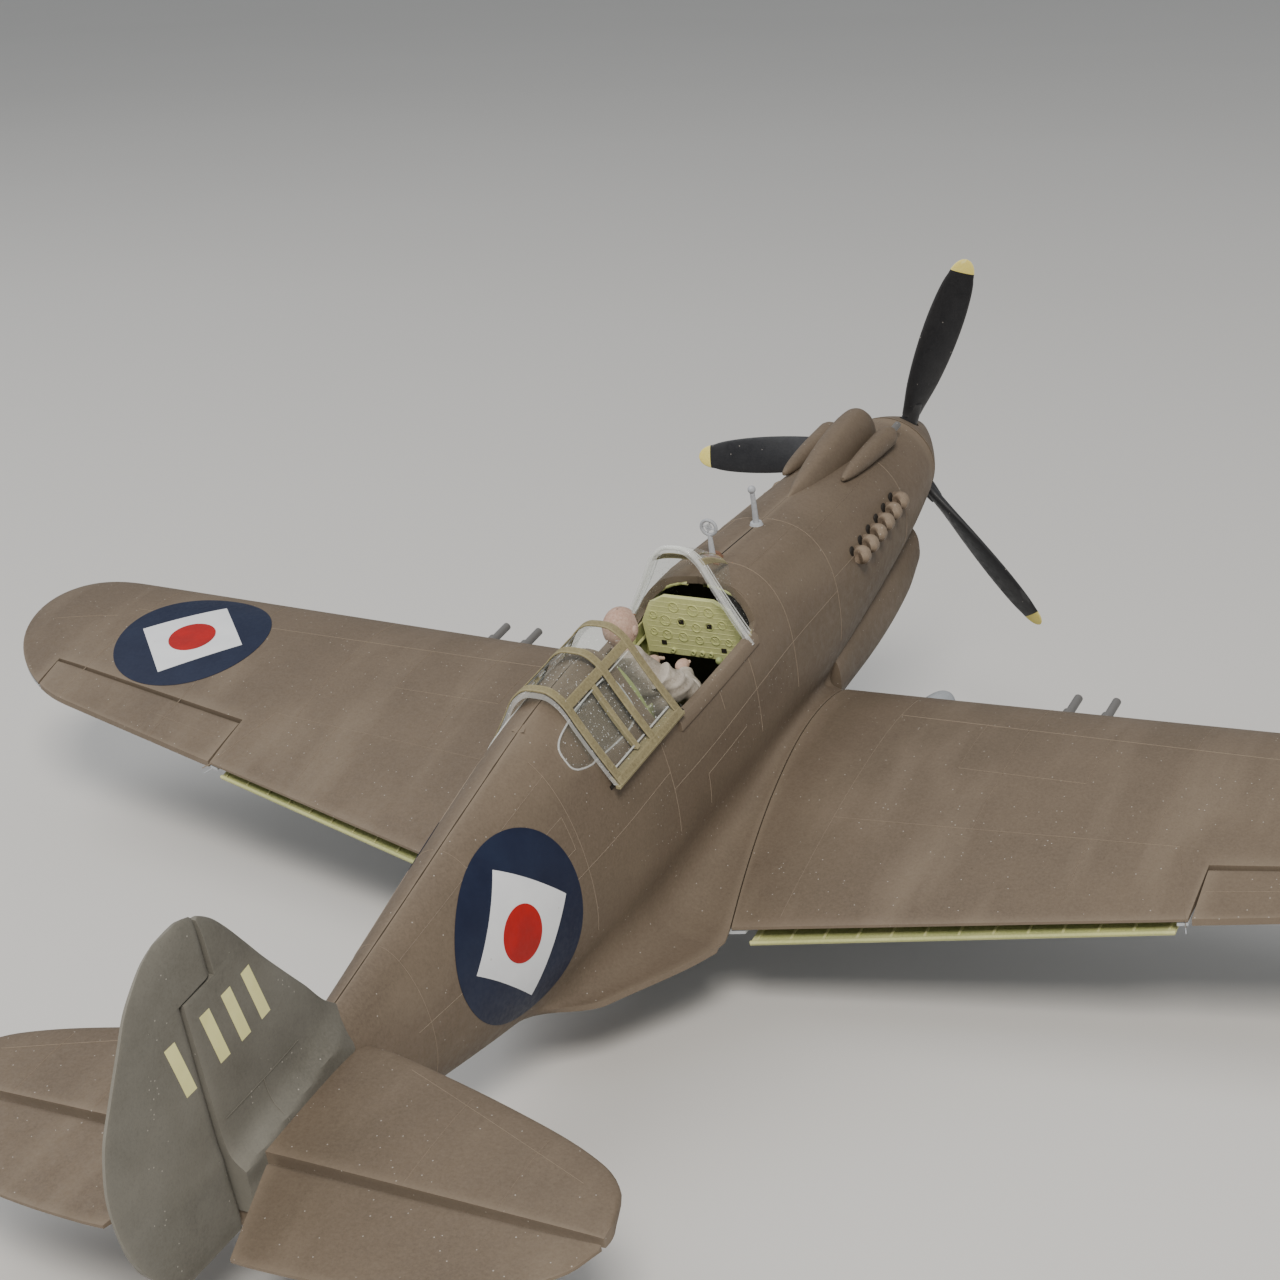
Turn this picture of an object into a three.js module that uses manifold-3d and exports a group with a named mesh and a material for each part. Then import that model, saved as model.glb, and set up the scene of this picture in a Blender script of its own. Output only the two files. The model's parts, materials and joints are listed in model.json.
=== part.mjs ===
// A 1:48 display model of a single-engined, long-nosed propeller fighter with a moulded pilot.
// Inside the airframe group one unit is one metre of the full-size aircraft: +X is the left wing,
// +Y runs aft from the spinner tip along the thrust line and +Z is up. The group then scales it to
// the model's millimetres and pitches it nose up, so that it stands on its three wheels.
import * as THREE from "three";
import { mergeVertices } from "three/addons/utils/BufferGeometryUtils.js";
import Module from "manifold-3d";

const wasm = await Module();
wasm.setup();

const MODEL_SCALE = 48;
const MM_PER_METRE = 1000 / MODEL_SCALE;
const GAP = 0.3 / MM_PER_METRE; // clearance between neighbouring mouldings
const THIN = 0.15 / MM_PER_METRE; // clearance under thin trim
const EDGE = 0.006; // least half thickness, so that no loft closes to a knife edge
const SIDES = { left: 1, right: -1 };

const radians = THREE.MathUtils.degToRad;
const mix = THREE.MathUtils.lerp;

// ---- materials -------------------------------------------------------------------------------

const finish = (color, roughness, metalness = 0, extra = {}) =>
  new THREE.MeshStandardMaterial({ color, roughness, metalness, ...extra });

const OLIVE = finish("#6d6244", 0.75);
const BELLY_GREY = finish("#8c9196", 0.7);
const YELLOW_GREEN = finish("#a8a552", 0.7);
const COCKPIT_GREEN = finish("#8f9a4e", 0.7);
const BLACK = finish("#1a1a1a", 0.55);
const GUNMETAL = finish("#3a3a3c", 0.45, 0.6);
const EXHAUST = finish("#6b5848", 0.7, 0.2);
const SIGHT_GREY = finish("#8b8d90", 0.6);
const SILVER = finish("#b4b6b8", 0.4, 0.7);
const TYRE = finish("#242424", 0.85);
const SKIN = finish("#c98f7c", 0.7);
const FLYING_SUIT = finish("#8c8272", 0.85);
const SEAT = finish("#7b7d50", 0.7);
const CLEAR = finish("#eef2f0", 0.08, 0, { transparent: true, opacity: 0.3 });

// ---- curves and solids -----------------------------------------------------------------------

// A smooth curve through [position, value] pairs, held at its end values beyond them.
function smooth(pairs) {
  const last = pairs.length - 1;
  const slopes = pairs.map((pair, i) => {
    const [x0, v0] = pairs[Math.max(i - 1, 0)];
    const [x1, v1] = pairs[Math.min(i + 1, last)];
    return (v1 - v0) / (x1 - x0);
  });
  return (position) => {
    const x = THREE.MathUtils.clamp(position, pairs[0][0], pairs[last][0]);
    let i = 0;
    while (i < last - 1 && x > pairs[i + 1][0]) i += 1;
    const [x0, v0] = pairs[i];
    const [x1, v1] = pairs[i + 1];
    const step = x1 - x0;
    const t = (x - x0) / step;
    const rise = t * t * (3 - 2 * t);
    const leave = slopes[i] * step * t * (1 - t) * (1 - t);
    const arrive = slopes[i + 1] * step * t * t * (t - 1);
    return mix(v0, v1, rise) + leave + arrive;
  };
}

const range = (count) => Array.from({ length: count }, (_, i) => i);
const steps = (from, to, count) => range(count + 1).map((i) => mix(from, to, i / count));

// A solid from a three.js geometry, turned to face outwards.
function solid(geometry) {
  const bare = geometry.clone();
  bare.deleteAttribute("normal");
  bare.deleteAttribute("uv");
  const merged = mergeVertices(bare, 1e-6);
  const vertProperties = new Float32Array(merged.attributes.position.array);
  const triVerts = new Uint32Array(merged.index.array);
  const build = () => new wasm.Manifold(new wasm.Mesh({ numProp: 3, vertProperties, triVerts }));
  const made = build();
  if (made.volume() > 0) return made;
  for (let i = 0; i < triVerts.length; i += 3) {
    [triVerts[i + 1], triVerts[i + 2]] = [triVerts[i + 2], triVerts[i + 1]];
  }
  return build();
}

function geometryOf(made) {
  const { vertProperties, triVerts, numProp } = made.getMesh();
  const positions = new Float32Array((vertProperties.length / numProp) * 3);
  for (let i = 0; i < positions.length / 3; i += 1) {
    positions.set(vertProperties.subarray(i * numProp, i * numProp + 3), i * 3);
  }
  const geometry = new THREE.BufferGeometry();
  geometry.setAttribute("position", new THREE.BufferAttribute(positions, 3));
  geometry.setIndex(new THREE.BufferAttribute(new Uint32Array(triVerts), 1));
  return geometry;
}

// A closed solid through rings of the same number of points, with a fan over each end.
function loft(rings) {
  const size = rings[0].length;
  const points = rings.flat();
  const index = [];
  for (let r = 0; r < rings.length - 1; r += 1) {
    for (let i = 0; i < size; i += 1) {
      const a = r * size + i;
      const b = r * size + ((i + 1) % size);
      index.push(a, b, b + size, a, b + size, a + size);
    }
  }
  for (const [start, turned] of [[0, true], [(rings.length - 1) * size, false]]) {
    const centre = new THREE.Vector3();
    for (let i = 0; i < size; i += 1) centre.addScaledVector(points[start + i], 1 / size);
    points.push(centre);
    for (let i = 0; i < size; i += 1) {
      const a = start + i;
      const b = start + ((i + 1) % size);
      index.push(...(turned ? [b, a, points.length - 1] : [a, b, points.length - 1]));
    }
  }
  const geometry = new THREE.BufferGeometry().setFromPoints(points);
  geometry.setIndex(index);
  return solid(geometry);
}

// An upright prism over an outline of [x, y] points.
function prism(outline, bottom, top) {
  return loft([bottom, top].map((z) => outline.map(([x, y]) => new THREE.Vector3(x, y, z))));
}

function box(low, high) {
  const [x0, y0, z0] = low;
  const [x1, y1, z1] = high;
  return prism([[x0, y0], [x1, y0], [x1, y1], [x0, y1]], z0, z1);
}

function moved(geometry, position, rotation = [0, 0, 0]) {
  geometry.rotateX(rotation[0]).rotateY(rotation[1]).rotateZ(rotation[2]);
  return solid(geometry.translate(...position));
}

// A rod between two points, tapering from one radius to the other.
function rod(from, to, radius, endRadius = radius, sides = 12) {
  const start = new THREE.Vector3(...from);
  const run = new THREE.Vector3(...to).sub(start);
  const geometry = new THREE.CylinderGeometry(endRadius, radius, run.length(), sides);
  const up = new THREE.Vector3(0, 1, 0);
  geometry.applyQuaternion(new THREE.Quaternion().setFromUnitVectors(up, run.clone().normalize()));
  const middle = start.addScaledVector(run, 0.5);
  return solid(geometry.translate(middle.x, middle.y, middle.z));
}

// A round solid about the line through `centre` along X, from [radius, offset] pairs.
function wheelShape(profile, centre, sides = 32) {
  const geometry = new THREE.LatheGeometry(profile.map(([r, x]) => new THREE.Vector2(r, x)), sides);
  return moved(geometry, centre, [0, 0, -Math.PI / 2]);
}

const union = (parts) => parts.reduce((whole, part) => whole.add(part));

function turned(made, point, axis, angle) {
  const matrix = new THREE.Matrix4().makeTranslation(...point);
  const spin = new THREE.Matrix4().makeRotationAxis(new THREE.Vector3(...axis).normalize(), angle);
  matrix.multiply(spin).multiply(new THREE.Matrix4().makeTranslation(...point.map((v) => -v)));
  return solid(geometryOf(made).applyMatrix4(matrix));
}

// ---- fuselage --------------------------------------------------------------------------------

const NOSE = 0.68; // front face of the cowling, behind the spinner's back plate
const TAIL_END = 9.12;
const COCKPIT = { front: 3.58, rear: 4.95, halfWidth: 0.355, floor: -0.3, sill: 0.4, ceiling: 1.3 };
const DECK_FRONT = 4.95; // where the raised rear deck begins

const halfWidth = smooth([
  [0.6, 0.34], [1.1, 0.4], [2.0, 0.45], [3.4, 0.475], [4.4, 0.475], [5.0, 0.455], [5.6, 0.435],
  [6.6, 0.345], [7.8, 0.2], [8.6, 0.12], [9.2, 0.07],
]);
const cowlTop = smooth([[0.6, 0.34], [1.1, 0.42], [2.0, 0.52], [2.7, 0.585], [3.4, 0.66], [4.1, 0.7]]);
const deckTop = smooth([
  [4.9, 0.94], [5.6, 0.92], [6.4, 0.79], [7.2, 0.64], [7.9, 0.52], [8.6, 0.42], [9.2, 0.34],
]);
const bellyLine = smooth([
  [0.6, -0.34], [1.1, -0.45], [2.0, -0.6], [3.0, -0.74], [4.2, -0.79], [5.4, -0.74],
  [6.6, -0.53], [7.8, -0.24], [8.6, -0.06], [9.2, 0.06],
]);
const widestLevel = smooth([[0.6, 0], [3, -0.05], [5.5, -0.05], [7.8, 0.12], [9.2, 0.2]]);
const roundness = smooth([[0.6, 2], [2, 2.3], [3.4, 2.8], [4.6, 2.1], [5.2, 1.95], [9.2, 2]]);
const LOWER_BEND = 0.92; // exponent of the fuselage section below its widest level

// One ring of the fuselage, from the top round the left side, `grow` outside the surface.
function fuselageRing(y, top, grow = 0, count = 24) {
  const level = widestLevel(y);
  const power = 2 / roundness(y);
  return range(count).map((i) => {
    const angle = (i / count) * 2 * Math.PI;
    const side = Math.sin(angle);
    const lift = Math.cos(angle);
    const reach = lift > 0 ? top(y) - level : level - bellyLine(y);
    const bend = lift > 0 ? power : LOWER_BEND;
    const x = (halfWidth(y) + grow) * Math.sign(side) * Math.abs(side) ** bend;
    const z = level + (reach + grow) * Math.sign(lift) * Math.abs(lift) ** bend;
    return new THREE.Vector3(x, y, z);
  });
}

function fuselageBody(grow = 0, count = 24) {
  const nose = steps(NOSE - grow, DECK_FRONT + 0.02, 9).map((y) => fuselageRing(y, cowlTop, grow, count));
  const deck = steps(DECK_FRONT, TAIL_END + grow, 11).map((y) => fuselageRing(y, deckTop, grow, count));
  return loft(nose).add(loft(deck));
}

// ---- wing ------------------------------------------------------------------------------------

const WING = {
  half: 5.76, root: 2.604, rootChord: 2.748, tipChord: 1.3, sweep: 0.135, level: -0.724,
  dihedral: Math.tan(radians(3)), incidence: Math.tan(radians(1.05)),
};
// The tip's outline: where each edge starts to round off, how squarely, and how far aft they meet.
const TIP = { centre: 0.45, lead: { from: 5.1, power: 3 }, trail: { from: 4.8, power: 2 } };
const STAND_PAD = { y: 3.75, radius: 0.22, face: -0.925 }; // flat boss under the centre section
// Outer edge of the root fillet, where the upper wing panels begin.
const rootEdge = smooth([[2.66, 0.47], [3.4, 0.5], [4.1, 0.58], [4.7, 0.68], [5.3, 0.8]]);
const FLAP = { inner: 0.86, outer: 3.26, hinge: 0.8, lowered: radians(10) };
const AILERON = { inner: 3.32, outer: 5.12, hinge: 0.78 };

function tipShare(x, { from, power }) {
  const t = Math.max(0, (Math.abs(x) - from) / (WING.half - from));
  return Math.sqrt(Math.max(0, 1 - t ** power));
}
const straightLead = (x) => WING.root + (WING.sweep * Math.abs(x)) / WING.half;
const straightTrail = (x) =>
  straightLead(x) + mix(WING.rootChord, WING.tipChord, Math.abs(x) / WING.half);
function leadEdge(x) {
  const centre = straightLead(x) + TIP.centre;
  return mix(centre, straightLead(x), tipShare(x, TIP.lead));
}
function trailEdge(x) {
  const centre = straightLead(x) + TIP.centre;
  return mix(centre, straightTrail(x), tipShare(x, TIP.trail));
}
const chordLevel = (x, y) =>
  WING.level + WING.dihedral * Math.abs(x) - WING.incidence * (y - straightLead(x));

// Half thickness of a four-digit aerofoil of unit chord and thickness at share u of its chord.
const foilHalf = (u) =>
  5 * (0.2969 * Math.sqrt(u) + u * (-0.126 + u * (-0.3516 + u * (0.2843 - 0.1015 * u))));
function camber(u) {
  const [height, crest] = [0.02, 0.4];
  if (u < crest) return (height / crest ** 2) * (2 * crest * u - u * u);
  return (height / (1 - crest) ** 2) * (1 - 2 * crest + 2 * crest * u - u * u);
}
function wingHeights(x, y) {
  const from = leadEdge(x);
  const chord = Math.max(trailEdge(x) - from, 0.05);
  const u = THREE.MathUtils.clamp((y - from) / chord, 0, 1);
  const ratio = mix(0.15, 0.09, Math.abs(x) / WING.half);
  const half = ratio * foilHalf(u) * chord + 0.014 * u + EDGE;
  const line = chordLevel(x, y) + camber(u) * chord;
  return { upper: line + half, lower: line - half };
}

// A wing-like solid: for each station, points run back to front over the top and return below.
function blade(stations, front, back, upper, lower, place, count = 10) {
  return loft(stations.map((s) => {
    const along = range(count + 1).map((i) => {
      const share = (1 - Math.cos((i / count) * Math.PI)) / 2;
      return mix(front(s), back(s), share);
    });
    const over = along.toReversed().map((c) => place(s, c, upper(s, c)));
    return over.concat(along.map((c) => place(s, c, lower(s, c))));
  }));
}
const flat = (x, y, z) => new THREE.Vector3(x, y, z);

const tipStations = (side) => [0.35, 0.58, 0.75, 0.88, 0.95, 0.99].map((t) =>
  side * mix(TIP.trail.from, WING.half, t));

function wingPanel(stations, upper, lower) {
  return blade(stations, leadEdge, trailEdge, upper, lower, flat, 9);
}
const overChord = (x, y) =>
  Math.max(wingHeights(x, y).upper, chordLevel(x, y) + GAP / 2 + EDGE);
const underChord = (x, y) =>
  Math.min(wingHeights(x, y).lower, chordLevel(x, y) - GAP / 2 - EDGE);
const aboveSplit = (x, y) => chordLevel(x, y) + GAP / 2;
const belowSplit = (x, y) => chordLevel(x, y) - GAP / 2;

const hingeAt = (share) => (x) => mix(straightLead(x), straightTrail(x), share);
const flapHinge = hingeAt(FLAP.hinge);
const aileronHinge = hingeAt(AILERON.hinge);

function bay(inner, outer, hinge, side, bottom, top) {
  const [near, far] = [side * (inner - GAP), side * (outer + GAP)];
  return prism([[near, hinge(near) - GAP], [far, hinge(far) - GAP], [far, 6], [near, 6]], bottom, top);
}
const aileronBay = (side) => bay(AILERON.inner, AILERON.outer, aileronHinge, side, -2, 2);

function upperWing(side) {
  const stations = [0.4, 0.9, 2.1, 3.3, 4.2, TIP.trail.from].map((x) => side * x);
  const inboard = steps(2.5, 5.5, 12).map((y) => [side * (rootEdge(y) + GAP), y]);
  const root = prism([[0, 2.5], ...inboard, [0, 5.5]], -2, 1);
  const panel = wingPanel([...stations, ...tipStations(side)], overChord, aboveSplit);
  return panel.subtract(root).subtract(aileronBay(side));
}

function lowerWing() {
  const inner = [0.9, 2.1, 3.3, 4.2, TIP.trail.from];
  const half = (side) => inner.map((x) => side * x).concat(tipStations(side));
  let panel = wingPanel([...half(-1).toReversed(), 0, ...half(1)], belowSplit, underChord);
  for (const side of Object.values(SIDES)) {
    panel = panel.subtract(aileronBay(side));
    panel = panel.subtract(bay(FLAP.inner, FLAP.outer, flapHinge, side, -2, 2));
  }
  const { y, radius, face } = STAND_PAD;
  return panel.add(rod([0, y, face], [0, y, face + 0.1], radius, radius, 24));
}

// Split flap: the lower half of the trailing edge, hinged along the wing's lower skin.
function flapAxis(side) {
  const point = (x) => new THREE.Vector3(x, flapHinge(x), underChord(x, flapHinge(x)));
  const inner = point(side * FLAP.inner);
  return { point: inner, axis: point(side * FLAP.outer).sub(inner).normalize() };
}
function flap(side) {
  const stations = steps(side * FLAP.inner, side * FLAP.outer, 3);
  const closed = blade(stations, flapHinge, (x) => trailEdge(x) - 0.01, belowSplit, underChord, flat, 5);
  const { point, axis } = flapAxis(side);
  return turned(closed, point.toArray(), axis.toArray(), -side * FLAP.lowered);
}

function aileronMiddle(x) {
  const heights = wingHeights(x, aileronHinge(x));
  return (heights.upper + heights.lower) / 2;
}
const NOSE_RUN = 0.05; // length of the bevel along the front of each control surface
function nosed(surface, hinge, middle) {
  return (s, c) => {
    const share = THREE.MathUtils.clamp((c - hinge(s)) / NOSE_RUN, 0.15, 1);
    return mix(middle(s), surface(s, c), share);
  };
}
function aileron(side) {
  const stations = [...steps(AILERON.inner, TIP.trail.from, 3), 4.95, AILERON.outer].map((x) => side * x);
  const over = nosed((x, y) => wingHeights(x, y).upper, aileronHinge, aileronMiddle);
  const under = nosed((x, y) => wingHeights(x, y).lower, aileronHinge, aileronMiddle);
  return blade(stations, aileronHinge, trailEdge, over, under, flat, 6);
}

// Concave fillet from the wing's upper skin to the fuselage side, trailing to a point behind it.
const FILLET = { front: 2.66, trail: 5.36, end: 6.5 };
const filletHeight = smooth([[2.66, 0.03], [3.4, 0.12], [4.6, 0.24], [5.4, 0.3], [6.5, 0.12]]);
const filletEnd = smooth([[5.3, 0.8], [5.6, 0.7], [6.1, 0.46], [6.5, 0.3]]);
const filletEdge = (y) => (y < 5.3 ? rootEdge(y) : filletEnd(y));

// Half width of the fuselage at height z below its widest level.
function bodySide(y, z) {
  const level = widestLevel(y);
  const share = THREE.MathUtils.clamp((level - z) / (level - bellyLine(y)), 0, 1);
  return halfWidth(y) * (1 - share ** (2 / LOWER_BEND)) ** (LOWER_BEND / 2);
}
function filletBody() {
  const stations = [...steps(FILLET.front, FILLET.trail, 8), ...steps(5.55, FILLET.end, 4)];
  return loft(stations.map((y) => {
    const edge = filletEdge(y);
    const rise = Math.max(0, y - FILLET.trail) * 0.16;
    const skin = overChord(edge, Math.min(y, FILLET.trail - 0.03)) + rise;
    const wall = bodySide(y, skin + filletHeight(y)) - 0.02;
    const arc = range(6).map((i) => {
      const angle = (i / 5) * (Math.PI / 2);
      const x = edge - (edge - Math.min(wall, edge - 0.03)) * Math.sin(angle);
      return [x, skin + filletHeight(y) * (1 - Math.cos(angle))];
    });
    const behind = y > FILLET.trail;
    const foot = behind ? Math.max(skin - 0.1, bellyLine(y) + 0.04) : skin - 0.24;
    const lip = [edge - 0.01, skin - (behind ? 0.03 : 0.08)];
    const left = [[0, foot], lip, ...arc, [0, skin + filletHeight(y)]];
    const right = left.slice(1, -1).toReversed().map(([x, z]) => [-x, z]);
    return [...left, ...right].map(([x, z]) => new THREE.Vector3(x, y, z));
  }));
}

// Everything below the split plane of the centre section, which the lower wing fills.
function wingSaddle() {
  const [from, to] = [straightLead(0) - GAP, straightTrail(0) + GAP];
  return loft([-1, 0, 1].map((x) => [
    [from, chordLevel(x, from) + GAP / 2], [to, chordLevel(x, to) + GAP / 2], [to, -2], [from, -2],
  ].map(([y, z]) => new THREE.Vector3(x, y, z))));
}

// ---- tail surfaces ---------------------------------------------------------------------------

const FIN = { foot: 0.3, top: 1.59, hinge: 8.86 };
const HORN = { front: 8.62, low: 1.315, high: 1.345, top: 1.675 }; // the rudder's balance ahead of its hinge
const finFront = smooth([
  [0.3, 7.5], [0.55, 7.82], [0.8, 8.0], [1.12, 8.22], [1.28, 8.32], [1.46, 8.437], [1.56, 8.52], [1.64, 8.63],
  [1.675, 8.72],
]);
const rudderBack = smooth([
  [-0.02, 9.3], [0.3, 9.53], [0.7, 9.6], [1.0, 9.53], [1.2, 9.4], [1.38, 9.27], [1.49, 9.19], [1.57, 9.1],
  [1.645, 8.99], [1.675, 8.9],
]);
const finHalf = (z, y) => mix(0.07, 0.03, z / FIN.top) * Math.min(1, 0.35 + (y - finFront(z)) * 1.4);
const upright = (z, y, x) => new THREE.Vector3(x, y, z);

function finBody() {
  const stations = [...steps(FIN.foot, HORN.low - GAP, 6), HORN.low, ...steps(1.4, FIN.top, 3)];
  const back = (z) => (z < HORN.low ? FIN.hinge : HORN.front) - GAP;
  return blade(stations, finFront, back, finHalf, (z, y) => -finHalf(z, y), upright, 6);
}
function rudder() {
  const stations = [0.02, 0.25, 0.6, 0.9, 1.2, HORN.low, HORN.high, 1.45, 1.54, 1.61, 1.65, HORN.top];
  const front = (z) => (z < HORN.high ? FIN.hinge : Math.max(HORN.front, finFront(z)));
  const half = (z, y) => {
    const tail = (rudderBack(z) - y) / (rudderBack(z) - front(z));
    const nose = THREE.MathUtils.clamp((y - front(z)) / NOSE_RUN, 0.25, 1);
    return mix(0.012, mix(0.065, 0.03, z / FIN.top), tail) * nose;
  };
  return blade(stations, front, rudderBack, half, (z, y) => -half(z, y), upright, 6);
}

const TAILPLANE = { level: 0.3, inner: 0.1, half: 1.95, hinge: 8.72, elevatorInner: 0.16 };
const tailFront = smooth([[0, 7.78], [0.4, 7.84], [1.23, 8.06], [1.7, 8.24], [1.88, 8.4], [1.95, 8.6]]);
const tailBack = smooth([[0, 9.3], [0.5, 9.34], [1.2, 9.28], [1.65, 9.12], [1.88, 8.92], [1.95, 8.76]]);
const tailHalf = (x, y) => {
  const share = (y - tailFront(Math.abs(x))) / (tailBack(Math.abs(x)) - tailFront(Math.abs(x)));
  const thick = mix(0.075, 0.035, Math.abs(x) / TAILPLANE.half);
  return thick * Math.min(1, 0.35 + share * 3.2, 0.2 + (1 - share) * 1.5);
};
const tailUpper = (x, y) => TAILPLANE.level + tailHalf(x, y);
const tailLower = (x, y) => TAILPLANE.level - tailHalf(x, y);
function stabilizer(side) {
  const stations = [TAILPLANE.inner, 0.6, 1.1, 1.5, 1.75, 1.88, 1.94].map((x) => side * x);
  const front = (x) => tailFront(Math.abs(x));
  return blade(stations, front, () => TAILPLANE.hinge - GAP, tailUpper, tailLower, flat, 6);
}
function elevator(side) {
  const stations = [TAILPLANE.elevatorInner, 0.6, 1.1, 1.5, 1.75, 1.88, 1.93].map((x) => side * x);
  const hinge = () => TAILPLANE.hinge;
  const back = (x) => tailBack(Math.abs(x));
  const over = nosed(tailUpper, hinge, () => TAILPLANE.level);
  const under = nosed(tailLower, hinge, () => TAILPLANE.level);
  const cutback = [[0.1, 8.78], [0.21, 8.78], [0.42, 9.5], [0.1, 9.5]].map(([x, y]) => [side * x, y]);
  return blade(stations, hinge, back, over, under, flat, 6).subtract(prism(cutback, 0, 1));
}

// ---- canopy, windscreen and rear windows -------------------------------------------------------

const GLASS_WALL = 0.042;
const FRAME_PROUD = 0.02;
const ARCH = { sill: 0.47, top: 1.01, halfWidth: 0.445 };
const WINDSCREEN = { front: 3.37, rear: 3.83, sill: 0.38 };
const CANOPY = { front: 4.765, middle: 5.11, rear: 5.57 };
// Section of the glazing, from its crown to its foot: share of the half width and of the height.
const archAcross = smooth([
  [0, 0], [0.1, 0.15], [0.19, 0.27], [0.29, 0.38], [0.45, 0.51], [0.65, 0.68], [0.83, 0.845], [1, 1],
]);
const archUp = smooth([
  [0, 1], [0.1, 0.988], [0.19, 0.93], [0.29, 0.83], [0.45, 0.64], [0.65, 0.405], [0.83, 0.19], [1, 0],
]);

// An arch of the glazing at station y, closed along a straight base.
function archRing(y, outset, base, crown, width) {
  return steps(-1, 1, 16).map((share) => {
    const x = Math.sign(share) * (width + outset) * archAcross(Math.abs(share));
    const z = base + (crown - base + outset) * archUp(Math.abs(share));
    return new THREE.Vector3(x, y, Math.abs(share) === 1 ? base : z);
  });
}
const canopyCore = (outset, from, to) => loft(
  [from, to].map((y) => archRing(y, outset, ARCH.sill, ARCH.top, ARCH.halfWidth)),
);
// The groove in the rear deck in which the open canopy sits.
function canopyGroove() {
  const [from, to] = [COCKPIT.rear - 0.1, CANOPY.rear + GAP];
  return canopyCore(FRAME_PROUD + GAP, from, to)
    .subtract(canopyCore(-GLASS_WALL - GAP, from - 0.1, to + 0.1));
}
const screenCrown = smooth([[3.37, 0.71], [3.5, 0.81], [3.65, 0.91], [3.83, 1.0]]);
const screenWidth = smooth([[3.37, 0.28], [3.5, 0.35], [3.65, 0.405], [3.83, 0.445]]);
function screenCore(outset, from, to) {
  const inside = steps(WINDSCREEN.front, WINDSCREEN.rear, 4).filter((y) => y > from && y < to);
  const stations = [from, ...inside, to];
  return loft(stations.map((y) => archRing(y, outset, WINDSCREEN.sill, screenCrown(y), screenWidth(y))));
}
// What is cut away above the cockpit sills, from the cowling's rear edge to the rear deck.
function cockpitOpening(inset) {
  const { front, rear, sill, ceiling } = COCKPIT;
  const profile = [
    [front, ceiling], [front, 0.62], [3.66, 0.46], [3.8, sill], [rear, sill], [rear, ceiling],
  ];
  const width = 0.7;
  return loft([-width, width].map((x) =>
    profile.map(([y, z]) => new THREE.Vector3(x, y + inset, z + inset))));
}

function windscreenParts() {
  const clear = fuselageBody(GAP).subtract(cockpitOpening(GAP));
  const outer = screenCore(0, WINDSCREEN.front, WINDSCREEN.rear);
  const inner = screenCore(-GLASS_WALL, WINDSCREEN.front + GLASS_WALL, WINDSCREEN.rear + 0.1);
  const shell = outer.subtract(inner).subtract(clear);
  const frameZone = union([
    box([-0.6, WINDSCREEN.rear - 0.075, 0.2], [0.6, WINDSCREEN.rear + 0.01, 1.2]),
    ...Object.values(SIDES).map((side) =>
      rod([side * 0.08, 3.3, 0.64], [side * 0.14, WINDSCREEN.rear, 0.98], 0.035, 0.035, 8)),
  ]);
  const skin = screenCore(FRAME_PROUD, WINDSCREEN.front, WINDSCREEN.rear)
    .subtract(screenCore(THIN / 2, WINDSCREEN.front - 0.1, WINDSCREEN.rear + 0.1));
  return { glass: largest(shell), frame: largest(skin.intersect(frameZone).subtract(clear)) };
}

function canopyParts() {
  const { front, middle, rear } = CANOPY;
  const glass = canopyCore(0, front, rear)
    .subtract(canopyCore(-GLASS_WALL, front - 0.1, rear + 0.1));
  const cut = box([-0.6, front - 0.2, 0], [0.6, rear + 0.2, ARCH.sill + 0.001]);
  const bows = [front + 0.035, middle, rear - 0.035].map((y) =>
    box([-0.6, y - 0.033, 0.4], [0.6, y + 0.033, 1.2]));
  const rails = Object.values(SIDES).flatMap((side) => [
    box([side > 0 ? 0.13 : -0.19, front, 0.8], [side > 0 ? 0.19 : -0.13, rear, 1.2]),
    box([side > 0 ? 0.3 : -0.6, front, 0.4], [side > 0 ? 0.6 : -0.3, rear, ARCH.sill + 0.06]),
  ]);
  const skin = canopyCore(FRAME_PROUD, front, rear)
    .subtract(canopyCore(THIN / 2, front - 0.1, rear + 0.1));
  const frame = skin.intersect(union([...bows, ...rails]));
  return { glass: largest(glass.subtract(cut)), frame: largest(frame.subtract(cut)) };
}

function largest(made) {
  return made.decompose().reduce((best, body) => (body.volume() > best.volume() ? body : best));
}

// The teardrop recess in the rear deck that each rear window fills.
const REAR_WINDOW = { front: 5.02, rear: 5.76, bottom: 0.56, top: 0.88, depth: 0.085 };
function windowOutline(side, shrink) {
  const { front, rear, bottom, top } = REAR_WINDOW;
  const [cy, cz] = [(front + rear) / 2, (bottom + top) / 2];
  const outline = range(14).map((i) => {
    const angle = (i / 14) * 2 * Math.PI;
    const reach = (value) => Math.sign(value) * Math.abs(value) ** 0.6;
    const y = cy + ((rear - front) / 2 - shrink) * reach(Math.cos(angle));
    const pinch = mix(1, 0.66, (y - front) / (rear - front));
    return [y, cz + ((top - bottom) / 2 - shrink) * pinch * reach(Math.sin(angle))];
  });
  return loft([0.12, 0.7].map((x) => outline.map(([y, z]) => new THREE.Vector3(side * x, y, z))));
}
function rearWindow(side) {
  const pane = fuselageBody(-0.005).subtract(fuselageBody(-GLASS_WALL));
  return largest(pane.intersect(windowOutline(side, GAP)).subtract(canopyGroove()));
}

// ---- fuselage mouldings ------------------------------------------------------------------------

function cockpitWell() {
  const { front, rear, halfWidth: half, floor, ceiling } = COCKPIT;
  return box([-half, front, floor], [half, rear, ceiling]).add(cockpitOpening(0));
}

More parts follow.
